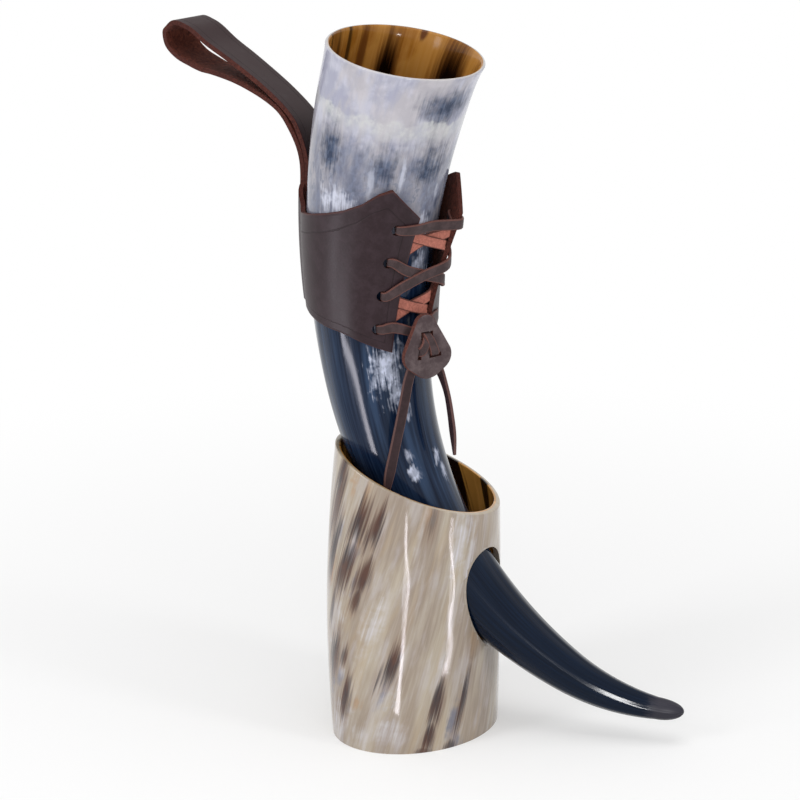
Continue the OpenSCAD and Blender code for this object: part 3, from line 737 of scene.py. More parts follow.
# %% The lace from end to end
toggle_stops = 6.5
lace_stops = (toggle_run(-1, left_tail)
              + inner_run(-1, eyelets[3], eyelets[2], low_h)
              + outer_run(1, eyelets[2], eyelets[1], 0.0)
              + inner_run(-1, eyelets[1], eyelets[0], low_h)
              + outer_run(1, eyelets[0], eyelets[0], 0.0)
              + inner_run(-1, eyelets[0], eyelets[1], high_h)
              + outer_run(1, eyelets[1], eyelets[2], step_h)
              + inner_run(-1, eyelets[2], eyelets[3], high_h)
              + toggle_run(1, right_tail)[::-1])


def run_grain(stop):
    """The lace turns its other face outward where it goes through the toggle, at both its ends."""
    return -1 if min(stop, len(lace_stops) - 1 - stop) < toggle_stops else 1


lace, _ = ribbon("lace_run", lace_stops, 6, run_grain)
print("lace run", len(lace_stops), "stops")

# %% [markdown]
# The lace's two free ends hang from the toggle. Each is a strip of its own, drawn through its
# points, and it twists as it leaves the slit; its length is printed.

# %% Free ends
def tail_stops(points, way):
    n = len(points) - 1
    return [(p, mix(toggle_u, Vector(way), ease(i / 3)), lace_w * (0.3 if i == n else 1))
            for i, p in enumerate(points)]


def line_length(points):
    return sum((b - a).length for a, b in zip(points, points[1:]))


tails = {}
for name, points, way in (("left", left_tail, (0.8, 0.6, 0)), ("right", right_tail, (0.6, -0.8, 0))):
    piece, line = ribbon("tail_" + name, tail_stops(points, way), 5, lambda stop: -1)
    tails[name] = piece
    tuple(line[0])
    line_length(line)
    [tuple(p) for p in line]
    print("tail", name, round(line_length(line), 4))

# %% [markdown]
# ## The toggle
# A pear-shaped scrap of thick leather slides on the lace. Four discs give its outline as the hull
# round them, and its edge is rounded by wear.

# %% Toggle plate
# Each disc is its place as shares of the width and the height, and its radius
toggle_discs = [(-0.05, 0.33, 0.17 * toggle_h), (-0.19, -0.13, 0.31 * toggle_w),
                (0.2, -0.17, 0.3 * toggle_w), (0.02, -0.21, 0.29 * toggle_h)]
toggle_edge, slit_len, slit_w = 0.0006, lace_w + 0.0012, lace_t + 0.0006
toggle_bm = bmesh.new()
for x, y, r in toggle_discs:
    bmesh.ops.create_cone(toggle_bm, segments=72, radius1=r, radius2=r, depth=toggle_t,
                          matrix=Matrix.Translation((x * toggle_w, y * toggle_h, 0)))
hull = bmesh.ops.convex_hull(toggle_bm, input=toggle_bm.verts, use_existing_faces=False)
loose = {g for g in hull["geom_interior"] + hull["geom_unused"] if isinstance(g, bmesh.types.BMVert)}
bmesh.ops.delete(toggle_bm, geom=list(loose), context="VERTS")
bmesh.ops.dissolve_limit(toggle_bm, angle_limit=radians(0.5), verts=toggle_bm.verts, edges=toggle_bm.edges)
rim_edges = [e for e in toggle_bm.edges if abs(e.verts[0].co.z - e.verts[1].co.z) < 1e-6]
bmesh.ops.bevel(toggle_bm, geom=rim_edges, offset=toggle_edge, segments=3, profile=0.5, affect="EDGES",
                material=-1)
toggle_place = Matrix.Translation(toggle_c) @ Matrix((toggle_u, Z, toggle_n)).transposed().to_4x4()
bmesh.ops.transform(toggle_bm, matrix=toggle_place, verts=toggle_bm.verts)
toggle = new_piece("toggle_leather", toggle_bm, 60)
slit_bm = bmesh.new()
for (x, y), turn, wide in ((top_slit, 0, 2 * slit_w), (left_slit, left_slit_turn, slit_w),
                           (right_slit, right_slit_turn, slit_w)):
    slit_place = Matrix.Translation((x * toggle_w, y * toggle_h, 0)) @ Matrix.Rotation(turn, 4, "Z")
    slit_size = Matrix.Diagonal((slit_len, wide, 3 * toggle_t, 1))
    bmesh.ops.create_cube(slit_bm, size=1, matrix=toggle_place @ slit_place @ slit_size)
cut_away(toggle, slit_bm, "slits")
smooth(toggle.data, 50)
print("toggle", len(toggle.data.polygons), "faces")

# %% [markdown]
# ## Rivets
# Two brass rivets hold the strap's end to the sleeve's back. Each is a turned part, so its half
# outline is spun round its axis.

# %% Rivets
cap_r, cap_h, shank_r, rivet_step = 0.0036, 0.0011, 0.0015, 0.014
cap_seat = leather_t / 2 + rivet_fit
head_seat = leather_t * 1.5 + tongue_gap + rivet_fit
profile = [(0, -head_seat - head_t), (cap_r * 0.8, -head_seat - head_t),
           (cap_r * 0.85, -head_seat - head_t * 0.6), (cap_r * 0.85, -head_seat),
           (shank_r, -head_seat), (shank_r, cap_seat), (cap_r * 0.97, cap_seat)]
profile += [(cap_r * cos(t), cap_seat + cap_h * (0.15 + 0.85 * sin(t))) for t in steps(0, pi / 2, 9)]
rivet_bm = bmesh.new()
for k in range(2):
    place = through_leather(180, root_s + tongue_len * 0.25 + k * rivet_step)
    points = [rivet_bm.verts.new((x, 0, z)) for x, z in profile]
    lines = [rivet_bm.edges.new(pair) for pair in zip(points, points[1:])]
    bmesh.ops.spin(rivet_bm, geom=points + lines, axis=(0, 0, 1), cent=(0, 0, 0), steps=40, angle=2 * pi,
                   use_merge=True)
    made = {v for f in rivet_bm.faces for v in f.verts if not v.tag}
    bmesh.ops.transform(rivet_bm, matrix=place, verts=list(made))
    for v in made:
        v.tag = True
bmesh.ops.remove_doubles(rivet_bm, verts=rivet_bm.verts, dist=1e-6)
rivets = new_piece("loop_rivet_pair", rivet_bm)
print("rivets", len(rivets.data.polygons), "faces")

# %% [markdown]
# ## Shared patterns for the materials
# Horn is made of layers of fibre. Its colour runs in streaks along the horn, with cloudy patches
# where the fibres are mixed. Leather has pores on its grain side and loose fibres on its flesh
# side. Each of these is one node group, with numbers for its size and its strength.

# %% Helpers for node trees
def tone(r, g, b):
    """A colour as it looks on a screen, 0 to 255, turned into light."""
    shares = [c / 255 for c in (r, g, b)]
    return tuple(c / 12.92 if c < 0.0431 else ((c + 0.055) / 1.055) ** 2.4 for c in shares) + (1,)


class Tree:
    """Adds nodes to one node tree. A socket takes a number, a colour or another node's output."""

    def __init__(self, tree):
        self.tree = tree

    def add(self, kind, inputs=(), **settings):
        n = self.tree.nodes.new("ShaderNode" + kind)
        for key, value in settings.items():
            setattr(n, key, value)
        for key, value in dict(inputs).items():
            if isinstance(value, bpy.types.NodeSocket):
                self.tree.links.new(value, n.inputs[key])
            else:
                n.inputs[key].default_value = value
        return n

    def math(self, operation, a, b=0.0):
        return self.add("Math", {0: a, 1: b}, operation=operation).outputs[0]

    def times(self, a, b):
        return self.math("MULTIPLY", a, b)

    def plus(self, a, b):
        return self.math("ADD", a, b)

    def less(self, a, b):
        return self.math("SUBTRACT", a, b)

    def most(self, a, b):
        return self.math("MAXIMUM", a, b)

    def sway(self, noise, amount):
        """Noise round a half, turned into a shift to both sides of nothing."""
        return self.times(self.less(noise, 0.5), amount)

    def vec(self, operation, a, b=(0, 0, 0)):
        n = self.add("VectorMath", {0: a, 1: b}, operation=operation)
        return n.outputs["Value" if operation in ("LENGTH", "DOT_PRODUCT") else "Vector"]

    def step(self, value, low, high, to_low=0.0, to_high=1.0):
        """A soft step from to_low at the first value to to_high at the second."""
        return self.add("MapRange", {0: value, 1: low, 2: high, 3: to_low, 4: to_high},
                        interpolation_type="SMOOTHSTEP").outputs[0]

    def mix(self, share, a, b):
        return self.add("Mix", {0: share, 6: a, 7: b}, data_type="RGBA").outputs[2]

    def lay(self, color, mask, share, r, g, b):
        """A thin layer of another colour over a colour, where the mask is."""
        return self.mix(self.times(mask, share), color, tone(r, g, b))

    def noise(self, vector, scale, detail=3.0, roughness=0.5, distortion=0.0):
        return self.add("TexNoise", {"Vector": vector, "Scale": scale, "Detail": detail,
                                     "Roughness": roughness, "Distortion": distortion}).outputs["Fac"]

    def split(self, vector):
        return self.add("SeparateXYZ", {0: vector}).outputs

    def join(self, x=0.0, y=0.0, z=0.0):
        return self.add("CombineXYZ", {0: x, 1: y, 2: z}).outputs[0]

    def use(self, group, **inputs):
        sockets = {key.replace("_", " "): value for key, value in inputs.items()}
        return self.add("Group", sockets, node_tree=group).outputs

    def here(self):
        """The place on the piece, in the model's own frame."""
        return self.add("TexCoord").outputs["Object"]

    def attribute(self, name, output="Vector"):
        return self.add("Attribute", attribute_name=name).outputs[output]


def new_group(name, inputs, outputs):
    tree = bpy.data.node_groups.new(name, "ShaderNodeTree")
    kinds = {"v": "NodeSocketVector", "f": "NodeSocketFloat"}
    for title, kind in inputs:
        tree.interface.new_socket(title, in_out="INPUT", socket_type=kinds[kind])
    for title, kind in outputs:
        tree.interface.new_socket(title, in_out="OUTPUT", socket_type=kinds[kind])
    into = tree.nodes.new("NodeGroupInput").outputs
    out = tree.nodes.new("NodeGroupOutput").inputs
    return tree, Tree(tree), into, lambda title, socket: tree.links.new(socket, out[title])


def new_material(name, **constants):
    m = bpy.data.materials.new(name)
    m.use_nodes = True
    p = m.node_tree.nodes["Principled BSDF"]
    for key, value in constants.items():
        p.inputs[key.replace("_", " ")].default_value = value
    t = Tree(m.node_tree)

    def give(**sockets):
        for key, socket in sockets.items():
            m.node_tree.links.new(socket, p.inputs[key.replace("_", " ")])
    return m, t, give


def bump(t, height, strength, distance):
    return t.add("Bump", {"Height": height, "Strength": strength, "Distance": distance}).outputs[0]


# %% [markdown]
# The grain of a horn piece is kept as a point on a unit circle, which says where round it a place
# is, and a height along it. Streaks are noise that is squeezed round the horn and drawn out along
# it.

# %% Streaks of horn
horn_streaks, g, into, give_out = new_group(
    "horn_streaks", [("Grain", "v"), ("Around", "f"), ("Along", "f"), ("Seed", "f"), ("Low", "f"),
                     ("High", "f")], [("Mask", "f"), ("Noise", "f")])
squeeze = g.join(into["Around"], into["Around"], into["Along"])
shift = g.join(z=into["Seed"])
field = g.noise(g.vec("ADD", g.vec("MULTIPLY", into["Grain"], squeeze), shift), 1.0, 4.0, 0.55, 0.25)
give_out("Mask", g.step(field, into["Low"], into["High"]))
give_out("Noise", field)


def streaks(t, grain, around, along, seed, low, high):
    """One kind of streak: its mask, and the noise that the mask is cut from."""
    made = t.use(horn_streaks, Grain=grain, Around=around, Along=along, Seed=seed, Low=low, High=high)
    return made["Mask"], made["Noise"]


# %% [markdown]
# A patch is one cloud or fleck at a chosen place. Its edge is torn by fine fibre noise. Where the
# fibres climb at a slant, the circle is turned with the height first, and the patches lean too.

# %% One patch or fleck
horn_patch, g, into, give_out = new_group(
    "horn_patch", [("Grain", "v"), ("Tear", "f"), ("Centre", "v"), ("Half around", "f"), ("Half along", "f"),
                   ("Soft", "f"), ("Taper", "f")], [("Mask", "f")])
size = g.join(into["Half around"], into["Half around"], into["Half along"])
local = g.vec("DIVIDE", g.vec("SUBTRACT", into["Grain"], into["Centre"]), size)
narrow = g.plus(1.0, g.times(g.split(local)[2], into["Taper"]))
far = g.vec("LENGTH", g.vec("MULTIPLY", local, g.join(narrow, narrow, 1.0)))
give_out("Mask", g.step(g.plus(far, into["Tear"]), 1.0, g.less(1.0, into["Soft"])))


def patches(t, grain, places, tear, soft, lean=0.0, taper=0.0):
    """The union of patches, each as degrees round, metres along, half degrees, half metres, strength."""
    total = None
    for a, s, half_a, half_s, strength in places:
        turned = radians(a) + lean * s
        mask = t.use(horn_patch, Grain=grain, Tear=tear, Centre=(cos(turned), sin(turned), s),
                     Half_around=radians(half_a), Half_along=half_s, Soft=soft, Taper=taper)["Mask"]
        mask = t.times(mask, strength)
        total = mask if total is None else t.most(total, mask)
    return total


def leaning(t, grain, lean):
    return t.add("VectorRotate", {"Vector": grain, "Angle": t.times(t.split(grain)[2], lean)},
                 rotation_type="Z_AXIS").outputs[0]


def tearing(t, grain, amount):
    """Noise that tears the edges of patches: teeth along the fibres, and soft clouds."""
    teeth = t.noise(t.vec("MULTIPLY", grain, (26, 26, 60)), 1.0, 4.0, 0.6, 0.3)
    cloud = t.noise(t.vec("MULTIPLY", grain, (6, 6, 170)), 1.0, 3.0, 0.5, 0.4)
    return t.times(t.less(t.plus(teeth, cloud), 1.0), amount)


def fibre_teeth(t, grain, amount):
    """Noise that tears the ends of flecks into long fibres and leaves their sides smooth."""
    teeth = t.noise(t.vec("MULTIPLY", grain, (34, 34, 26)), 1.0, 3.0, 0.55, 0.3)
    return t.sway(teeth, amount)


# %% [markdown]
# ## Polished horn of the cup
# Near the mouth the horn is pale and cloudy, with slate patches and a cream band. Past the sleeve
# it turns blue-black, with a few milky clouds, and the solid tip is nearly black. All of it is
# built from four kinds of streaks, from long fibres to short crumbs, so they come first.

# %% Streaks of the cup
horn_polish, t, give = new_material("horn_polish", Specular_IOR_Level=0.16)
grain = t.attribute("grain")
inner = t.attribute("inner", "Fac")
s_place = t.split(grain)[2]
wander = t.noise(t.vec("MULTIPLY", grain, (9, 9, 90)), 1.0, 4.0, 0.6, 0.0)
depth_place = t.plus(s_place, t.sway(wander, 0.02))
fine, fine_noise = streaks(t, grain, 26.0, 26.0, 3.0, 0.35, 0.68)
broad, broad_noise = streaks(t, grain, 3.2, 34.0, 11.0, 0.42, 0.62)
clouds, clouds_noise = streaks(t, grain, 3.4, 85.0, 5.0, 0.42, 0.62)
crumbs, crumbs_noise = streaks(t, grain, 13.0, 300.0, 7.0, 0.42, 0.62)
soft_tear = tearing(t, grain, 0.8)
hard_tear = tearing(t, grain, 2.2)
print("cup's streaks", len(horn_polish.node_tree.nodes), "nodes")

# %% [markdown]
# The mouth end is layered as the real horn is: a pale ground, slate patches in their own places,
# a wash that darkens deeper down, snowy patches with torn edges, and the cream band over them.
# The narrow snowy streak at -62 degrees is a painted highlight, not part of the horn.

# %% Outside near the mouth
pale = t.mix(clouds, tone(162, 163, 180), tone(189, 189, 202))
pale = t.lay(pale, fine, 0.25, 150, 150, 167)
pale = t.lay(pale, broad, 0.5, 190, 183, 180)
slate = t.mix(crumbs, tone(50, 60, 82), tone(78, 90, 114))
slate = t.lay(slate, fine, 0.3, 66, 76, 98)
dark_places = [(-38, 0.0148, 36, 0.0125, 1), (-134, 0.026, 7, 0.007, 0.7), (-125, 0.045, 26, 0.023, 1),
               (-78, 0.047, 27, 0.020, 0.95), (-38, 0.044, 36, 0.023, 1), (-100, 0.058, 24, 0.012, 0.8),
               (-62, 0.063, 16, 0.010, 0.8), (-18, 0.064, 14, 0.014, 0.9), (-26, 0.070, 16, 0.008, 0.9),
               (60, 0.045, 36, 0.019, 0.8), (120, 0.038, 30, 0.015, 0.8), (165, 0.052, 28, 0.017, 0.8)]
dark = patches(t, grain, dark_places, soft_tear, 1.0)
wash = t.times(t.step(depth_place, 0.030, 0.042), t.step(broad_noise, 0.3, 0.7, 0.75, 0.3))
low_clouds = t.times(crumbs, t.step(s_place, 0.036, 0.055, 0.0, 0.65))
dark = t.most(t.most(dark, wash), low_clouds)
upper = t.mix(dark, pale, slate)
# Snowy patches of the horn, and one painted highlight: the narrow streak at -62 degrees
snow_and_highlight_places = [(-112, 0.066, 21, 0.010, 1), (-62, 0.049, 3.5, 0.012, 0.7), (-33, 0.074, 13, 0.006, 0.9),
               (-86, 0.052, 4, 0.008, 0.5), (-22, 0.060, 4, 0.006, 0.5)]
snow_and_highlight = patches(t, grain, snow_and_highlight_places, hard_tear, 0.9)
upper = t.mix(snow_and_highlight, upper, tone(198, 201, 216))
wavy = t.plus(s_place, t.sway(clouds_noise, 0.012))
band = t.times(t.step(wavy, 0.0215, 0.0235), t.step(wavy, 0.033, 0.0255))
band = t.times(band, t.plus(0.35, t.times(crumbs, 0.4)))
upper = t.mix(band, upper, tone(196, 197, 196))
print("near the mouth", len(dark_places), "dark and", len(snow_and_highlight_places), "snowy patches")

# %% [markdown]
# Below the sleeve the horn is bare and dark. The change from pale to dark is ragged, because each
# fibre keeps its own colour along its length. The very tip is duller, as it isn't buffed. From the
# stand's rim on it turns near black: partly the lower horn's own colour, partly painted shade where
# it sits inside the stand.

# %% Dark lower part and tip
navy, _ = streaks(t, grain, 5.0, 9.0, 21.0, 0.44, 0.7)
navy = t.mix(navy, tone(8, 22, 44), tone(44, 62, 88))
navy = t.lay(navy, fine, 0.3, 50, 68, 96)
milk_places = [(-29, 0.079, 13, 0.010, 0.9), (-30, 0.095, 13, 0.009, 0.8), (-68, 0.145, 19, 0.019, 1),
               (-58, 0.158, 12, 0.012, 1), (-51, 0.168, 6, 0.007, 0.6), (-63, 0.191, 7, 0.005, 0.7),
               (-24, 0.198, 8, 0.006, 0.9), (-62, 0.201, 9, 0.006, 0.9), (-17, 0.208, 6, 0.006, 0.7),
               (-112, 0.104, 10, 0.01, 0.5), (70, 0.15, 22, 0.016, 0.8), (130, 0.17, 18, 0.013, 0.7),
               (100, 0.215, 16, 0.01, 0.5)]
milk = patches(t, grain, milk_places, hard_tear, 0.9)
milk = t.times(milk, t.plus(0.6, t.times(crumbs, 0.4)))
depth = t.plus(wavy, t.sway(broad_noise, 0.05))
body = t.mix(t.step(depth, 0.072, 0.1), upper, navy)
body = t.mix(milk, body, tone(202, 208, 228))
# Near black from the stand's rim on: the lower horn's own darker colour, and painted shade inside the stand
body = t.mix(t.step(s_place, 0.2, 0.28), body, t.mix(fine, tone(0, 12, 30), tone(5, 22, 43)))
ragged = t.sway(crumbs_noise, 0.012)
tip = t.step(t.plus(s_place, ragged), 0.366, 0.374)
body = t.lay(body, tip, 0.7, 58, 55, 62)
print("lower part", len(milk_places), "milky patches")

# %% [markdown]
# The inside was scraped to caramel colour. Dark streaks run down into it from the lip, each with a
# brown fringe round a black middle. The lip itself is pale, where the wall is cut through. Deeper
# down, the inside is painted darker as shade in the hollow.

# %% Inside, lip and gloss
caramel = t.mix(broad, tone(166, 116, 52), tone(140, 90, 30))
caramel = t.lay(caramel, fine, 0.25, 180, 134, 76)
brown_places = [(109, 0.026, 14, 0.034, 0.9), (52, 0.024, 25, 0.036, 0.95), (168, 0.012, 18, 0.03, 0.5),
                (132, 0.014, 5, 0.022, 0.9), (86, 0.001, 4, 0.005, 1), (-110, 0.05, 16, 0.05, 1),
                (-20, 0.06, 12, 0.06, 1)]
black_places = [(109, 0.030, 10.5, 0.032, 1), (52, 0.028, 21, 0.032, 1), (147, 0.012, 3, 0.03, 0.8),
                (174, 0.012, 3, 0.03, 0.6), (160, 0.02, 3, 0.03, 0.5), (-110, 0.05, 10, 0.04, 1)]
inner_tear = t.sway(fine_noise, 0.55)
inside = t.mix(patches(t, grain, brown_places, inner_tear, 0.6), caramel, tone(92, 52, 20))
inside = t.mix(patches(t, grain, black_places, inner_tear, 0.6), inside, tone(8, 3, 1))
# Painted shade: the inside turns dark brown deeper down the hollow, where shade falls
inside = t.mix(t.step(s_place, 0.04, 0.14), inside, tone(50, 28, 14))
color = t.mix(t.step(inner, 0.5, 0.62), body, inside)
lip_band = t.times(t.step(inner, 0.02, 0.3), t.step(inner, 0.66, 0.55))
color = t.lay(color, lip_band, 0.7, 190, 186, 180)
rough = t.plus(0.09, t.times(fine_noise, 0.08))
rough = t.plus(rough, t.times(tip, 0.3))
ripple = t.noise(t.vec("MULTIPLY", grain, (2.4, 2.4, 20)), 1.0, 0.5, 0.4)
height = t.plus(t.times(ripple, 0.8), t.times(fine_noise, 0.004))
give(Base_Color=color, Roughness=rough, Normal=bump(t, height, 0.35, 0.004))
print("cup's horn", len(horn_polish.node_tree.nodes), "nodes")

# %% [markdown]
# ## Polished horn of the stand
# The stand's horn is paler: beige and cream. Its fibres climb at a slant, so the grain is turned
# with the height before anything is laid on it. The ground comes first, then clouds of gold,
# white, blue-grey and smoke.

# %% Ground colours of the stand
stand_polish, t, give = new_material("stand_polish", Specular_IOR_Level=0.4, Coat_Weight=0.25,
                                     Coat_Roughness=0.03)
upright = t.attribute("grain")
inner = t.attribute("inner", "Fac")
climb = -6.8
grain = leaning(t, upright, climb)
fine, fine_noise = streaks(t, grain, 30.0, 30.0, 2.0, 0.38, 0.7)
hair, hair_noise = streaks(t, grain, 70.0, 45.0, 4.0, 0.4, 0.7)
broad, _ = streaks(t, grain, 3.0, 14.0, 9.0, 0.40, 0.62)
warm, _ = streaks(t, grain, 5.0, 26.0, 15.0, 0.52, 0.68)
haze, haze_noise = streaks(t, grain, 7.0, 40.0, 27.0, 0.46, 0.7)
color = t.mix(broad, tone(145, 130, 116), tone(171, 159, 142))
color = t.lay(color, fine, 0.25, 196, 187, 172)
color = t.lay(color, hair, 0.15, 138, 122, 104)
color = t.lay(color, warm, 0.2, 176, 148, 106)
color = t.lay(color, haze, 0.35, 192, 187, 190)
wide_tear = tearing(t, grain, 1.8)
fleck_tear = fibre_teeth(t, grain, 1.5)
print("stand's ground", len(stand_polish.node_tree.nodes), "nodes")

# %% Clouds on the stand
gold_places = [(-122, 0.132, 4, 0.013, 0.6), (-112, 0.128, 4, 0.012, 0.4), (-119, 0.024, 5, 0.005, 0.5),
               (-141, 0.085, 4, 0.014, 0.6), (-72, 0.118, 6, 0.010, 0.3), (-30, 0.05, 8, 0.012, 0.25),
               (-117, 0.105, 3, 0.014, 0.5)]
color = t.mix(patches(t, grain, gold_places, wide_tear, 1.0, climb), color, tone(164, 122, 76))
white_places = [(-44, 0.103, 13, 0.020, 0.9), (-36, 0.09, 6, 0.03, 0.6), (-76, 0.112, 3, 0.02, 0.4),
                (-108, 0.062, 9, 0.02, 0.7), (-100, 0.030, 8, 0.009, 0.8), (-60, 0.045, 4, 0.014, 0.6),
                (-95, 0.010, 14, 0.010, 0.6), (-120, 0.104, 3, 0.02, 0.8), (-40, 0.03, 5, 0.02, 0.4),
                (-131, 0.036, 4, 0.006, 0.7), (-116, 0.007, 10, 0.012, 0.6), (-129, 0.112, 3, 0.02, 0.5),
                (-134, 0.010, 12, 0.018, 0.9), (-134, 0.066, 10, 0.022, 0.7)]
white = patches(t, grain, white_places, wide_tear, 1.2, climb)
white = t.times(white, t.plus(0.4, t.times(fine, 0.6)))
color = t.mix(white, color, tone(205, 204, 213))
blue_places = [(-101, 0.031, 6, 0.010, 0.7), (-52, 0.013, 6, 0.013, 0.9), (-120, 0.097, 5, 0.008, 0.6),
               (-133, 0.033, 6, 0.006, 0.7), (-47, 0.004, 8, 0.008, 0.7), (-142, 0.030, 5, 0.016, 0.8),
               (-132, 0.106, 3, 0.012, 0.7), (-120, 0.084, 3, 0.012, 0.6)]
color = t.mix(patches(t, grain, blue_places, wide_tear, 1.1, climb), color, tone(104, 106, 122))
smoke_places = [(-129, 0.094, 15, 0.034, 0.85), (-139, 0.112, 9, 0.036, 0.9), (-139, 0.036, 7, 0.024, 0.6),
                (-96, 0.040, 5, 0.024, 0.5)]
smoke = t.times(patches(t, grain, smoke_places, fleck_tear, 1.1, climb), t.step(hair_noise, 0.3, 0.62))
color = t.mix(smoke, color, t.mix(haze, tone(96, 72, 58), tone(84, 78, 88)))
print("clouds", len(gold_places + white_places + blue_places + smoke_places))

# %% [markdown]
# The brown flecks are what one sees first. They are widest low down and run out upward in single
# fibres, and each has a warm fringe. On the side that the photograph doesn't show, streak noise
# makes flecks of the same kind.

# %% Flecks of the stand
fleck_places = [(-138, 0.120, 8, 0.032, 1), (-133.5, 0.134, 7.5, 0.022, 1), (-116, 0.115, 9, 0.020, 1),
                (-105, 0.113, 6.5, 0.018, 1), (-140, 0.096, 6.5, 0.030, 1), (-126, 0.091, 9.5, 0.022, 1),
                (-113, 0.088, 7, 0.016, 1), (-118, 0.076, 5, 0.012, 0.95), (-138, 0.044, 8.5, 0.021, 1),
                (-127, 0.046, 4, 0.011, 0.9), (-129, 0.024, 8.5, 0.018, 1), (-95.5, 0.046, 7, 0.019, 1),
                (-64, 0.025, 7.5, 0.018, 1), (-71, 0.008, 6.5, 0.013, 1), (-41, 0.024, 5.6, 0.024, 1),
                (-68, 0.115, 6, 0.014, 0.55), (-75, 0.001, 9, 0.004, 0.9), (-54, 0.001, 9, 0.005, 0.8),
                (-140, 0.068, 3, 0.018, 0.8)]
flecks = patches(t, grain, fleck_places, fleck_tear, 0.8, climb, 0.5)
far_flecks, _ = streaks(t, grain, 7.5, 17.0, 31.0, 0.58, 0.64)
back_only = t.step(t.split(upright)[1], 0.05, 0.35)
brown = t.mix(t.step(haze_noise, 0.4, 0.6), tone(78, 46, 32), tone(44, 34, 37))
brown = t.lay(brown, fine, 0.2, 104, 78, 66)
brown = t.mix(t.step(flecks, 0.2, 0.6), tone(118, 84, 60), brown)
color = t.mix(t.most(flecks, t.times(far_flecks, back_only)), color, brown)
print("flecks", len(fleck_places))

# %% [markdown]
# The stand's inside is orange-brown, because light shows through the wall. Its dark flecks are
# partly the horn's own and partly painted shade on the inner left wall near the rim. The sawn rim
# shows the bare horn between the two.

# %% Inside, rim and gloss of the stand
amber = t.mix(warm, tone(190, 136, 64), tone(218, 160, 82))
# Dark flecks inside: the horn's own, and the wide one at 172 degrees near the rim is also painted shade on
# the inner left wall
inner_flecks_and_shade = [(71, 0.108, 8, 0.03, 1), (45, 0.106, 5, 0.026, 1), (172, 0.13, 34, 0.06, 1),
                (110, 0.10, 10, 0.04, 0.8), (5, 0.08, 8, 0.03, 0.9), (-60, 0.06, 14, 0.03, 0.9),
                (140, 0.04, 12, 0.03, 0.8)]
amber = t.mix(patches(t, grain, inner_flecks_and_shade, fleck_tear, 0.5, climb), amber, tone(26, 13, 7))
rim_band = t.times(t.step(inner, 0.02, 0.2), t.step(inner, 0.98, 0.85))
color = t.lay(color, rim_band, 0.5, 186, 170, 142)
color = t.mix(t.step(inner, 0.5, 0.75), color, amber)
rough = t.plus(0.06, t.times(fine_noise, 0.06))
ripple = t.noise(t.vec("MULTIPLY", upright, (2.2, 2.2, 26)), 1.0, 0.5, 0.4)
height = t.plus(ripple, t.times(hair_noise, 0.003))
give(Base_Color=color, Roughness=rough, Normal=bump(t, height, 0.4, 0.004))
print("stand's horn", len(stand_polish.node_tree.nodes), "nodes")

# %% [markdown]
# ## Leather
# Saddle leather is dyed through its grain side only. The grain side is dark, close-pored and
# satin from wax, with creased lines beside its edges. The cut edges and the flesh side show the
# reddish fibres.

# %% Shared leather patterns
leather_grain, g, into, give_out = new_group(
    "leather_grain", [("Place", "v"), ("Pore size", "f")], [("Height", "f"), ("Mottle", "f")])
per_pore = g.math("DIVIDE", 1.0, into["Pore size"])
cells = g.add("TexVoronoi", {"Vector": into["Place"], "Scale": per_pore, "Randomness": 1.0},
              feature="SMOOTH_F1").outputs["Distance"]
fold = g.noise(into["Place"], g.times(per_pore, 0.35), 4.0, 0.6, 0.5)
give_out("Height", g.plus(g.times(cells, -0.6), g.times(fold, 0.5)))
give_out("Mottle", g.noise(into["Place"], g.times(per_pore, 0.16), 4.0, 0.7, 0.2))

leather_fibre, g, into, give_out = new_group(
    "leather_fibre", [("Place", "v"), ("Fibre size", "f")], [("Height", "f"), ("Fuzz", "f")])
per_fibre = g.math("DIVIDE", 1.0, into["Fibre size"])
give_out("Height", g.noise(into["Place"], per_fibre, 5.0, 0.7, 1.2))
give_out("Fuzz", g.step(g.noise(into["Place"], g.times(per_fibre, 0.4), 4.0, 0.65, 0.8), 0.3, 0.7))


# %% [markdown]
# The grain side of the holster reads two notes from its mesh: how far a place is from the nearest
# edge, counted in crease distances, and whether it lies on the strap. They draw the crease and
# colour the edge. The toggle is a plain scrap without creases.

# %% The two sides of leather
def grain_side(name, dark_tone, light_tone, rough_base, creased=False):
    m, t, give = new_material(name, Specular_IOR_Level=0.17)
    place = t.here()
    skin = t.use(leather_grain, Place=place, Pore_size=0.0009)
    wide = t.noise(place, 28.0, 3.0, 0.6)
    color = t.mix(t.step(skin["Mottle"], 0.35, 0.7), dark_tone, light_tone)
    color = t.mix(t.step(wide, 0.3, 0.75, 0.0, 0.2), color, dark_tone)
    height = t.times(skin["Height"], 0.16)
    rough = t.plus(rough_base, t.times(skin["Mottle"], 0.16))
    if creased:
        away, on_strap, _ = t.split(t.add("UVMap", uv_map="edge").outputs[0])
        line = t.times(t.step(away, 0.93, 0.98), t.step(away, 1.07, 1.02))
        line = t.times(line, t.step(on_strap, 0.0, 1.0, 0.5, 1.0))
        color = t.lay(color, on_strap, 0.7, 40, 20, 20)
        color = t.lay(color, line, 0.8, 22, 14, 15)
        color = t.mix(t.step(away, 0.12, 0.0, 0.0, 0.45), color, tone(88, 46, 40))
        height = t.less(height, line)
        height = t.plus(height, t.step(away, 0.0, 0.2, -0.6, 0.0))
        dust = t.add("TexVoronoi", {"Vector": place, "Scale": 55.0}).outputs["Distance"]
        rough = t.plus(rough, t.plus(t.times(line, 0.15), t.times(on_strap, 0.1)))
        color = t.lay(color, t.step(dust, 0.045, 0.02), 0.35, 150, 135, 140)
    give(Base_Color=color, Roughness=rough, Normal=bump(t, height, 0.6, 0.0004))
    return m


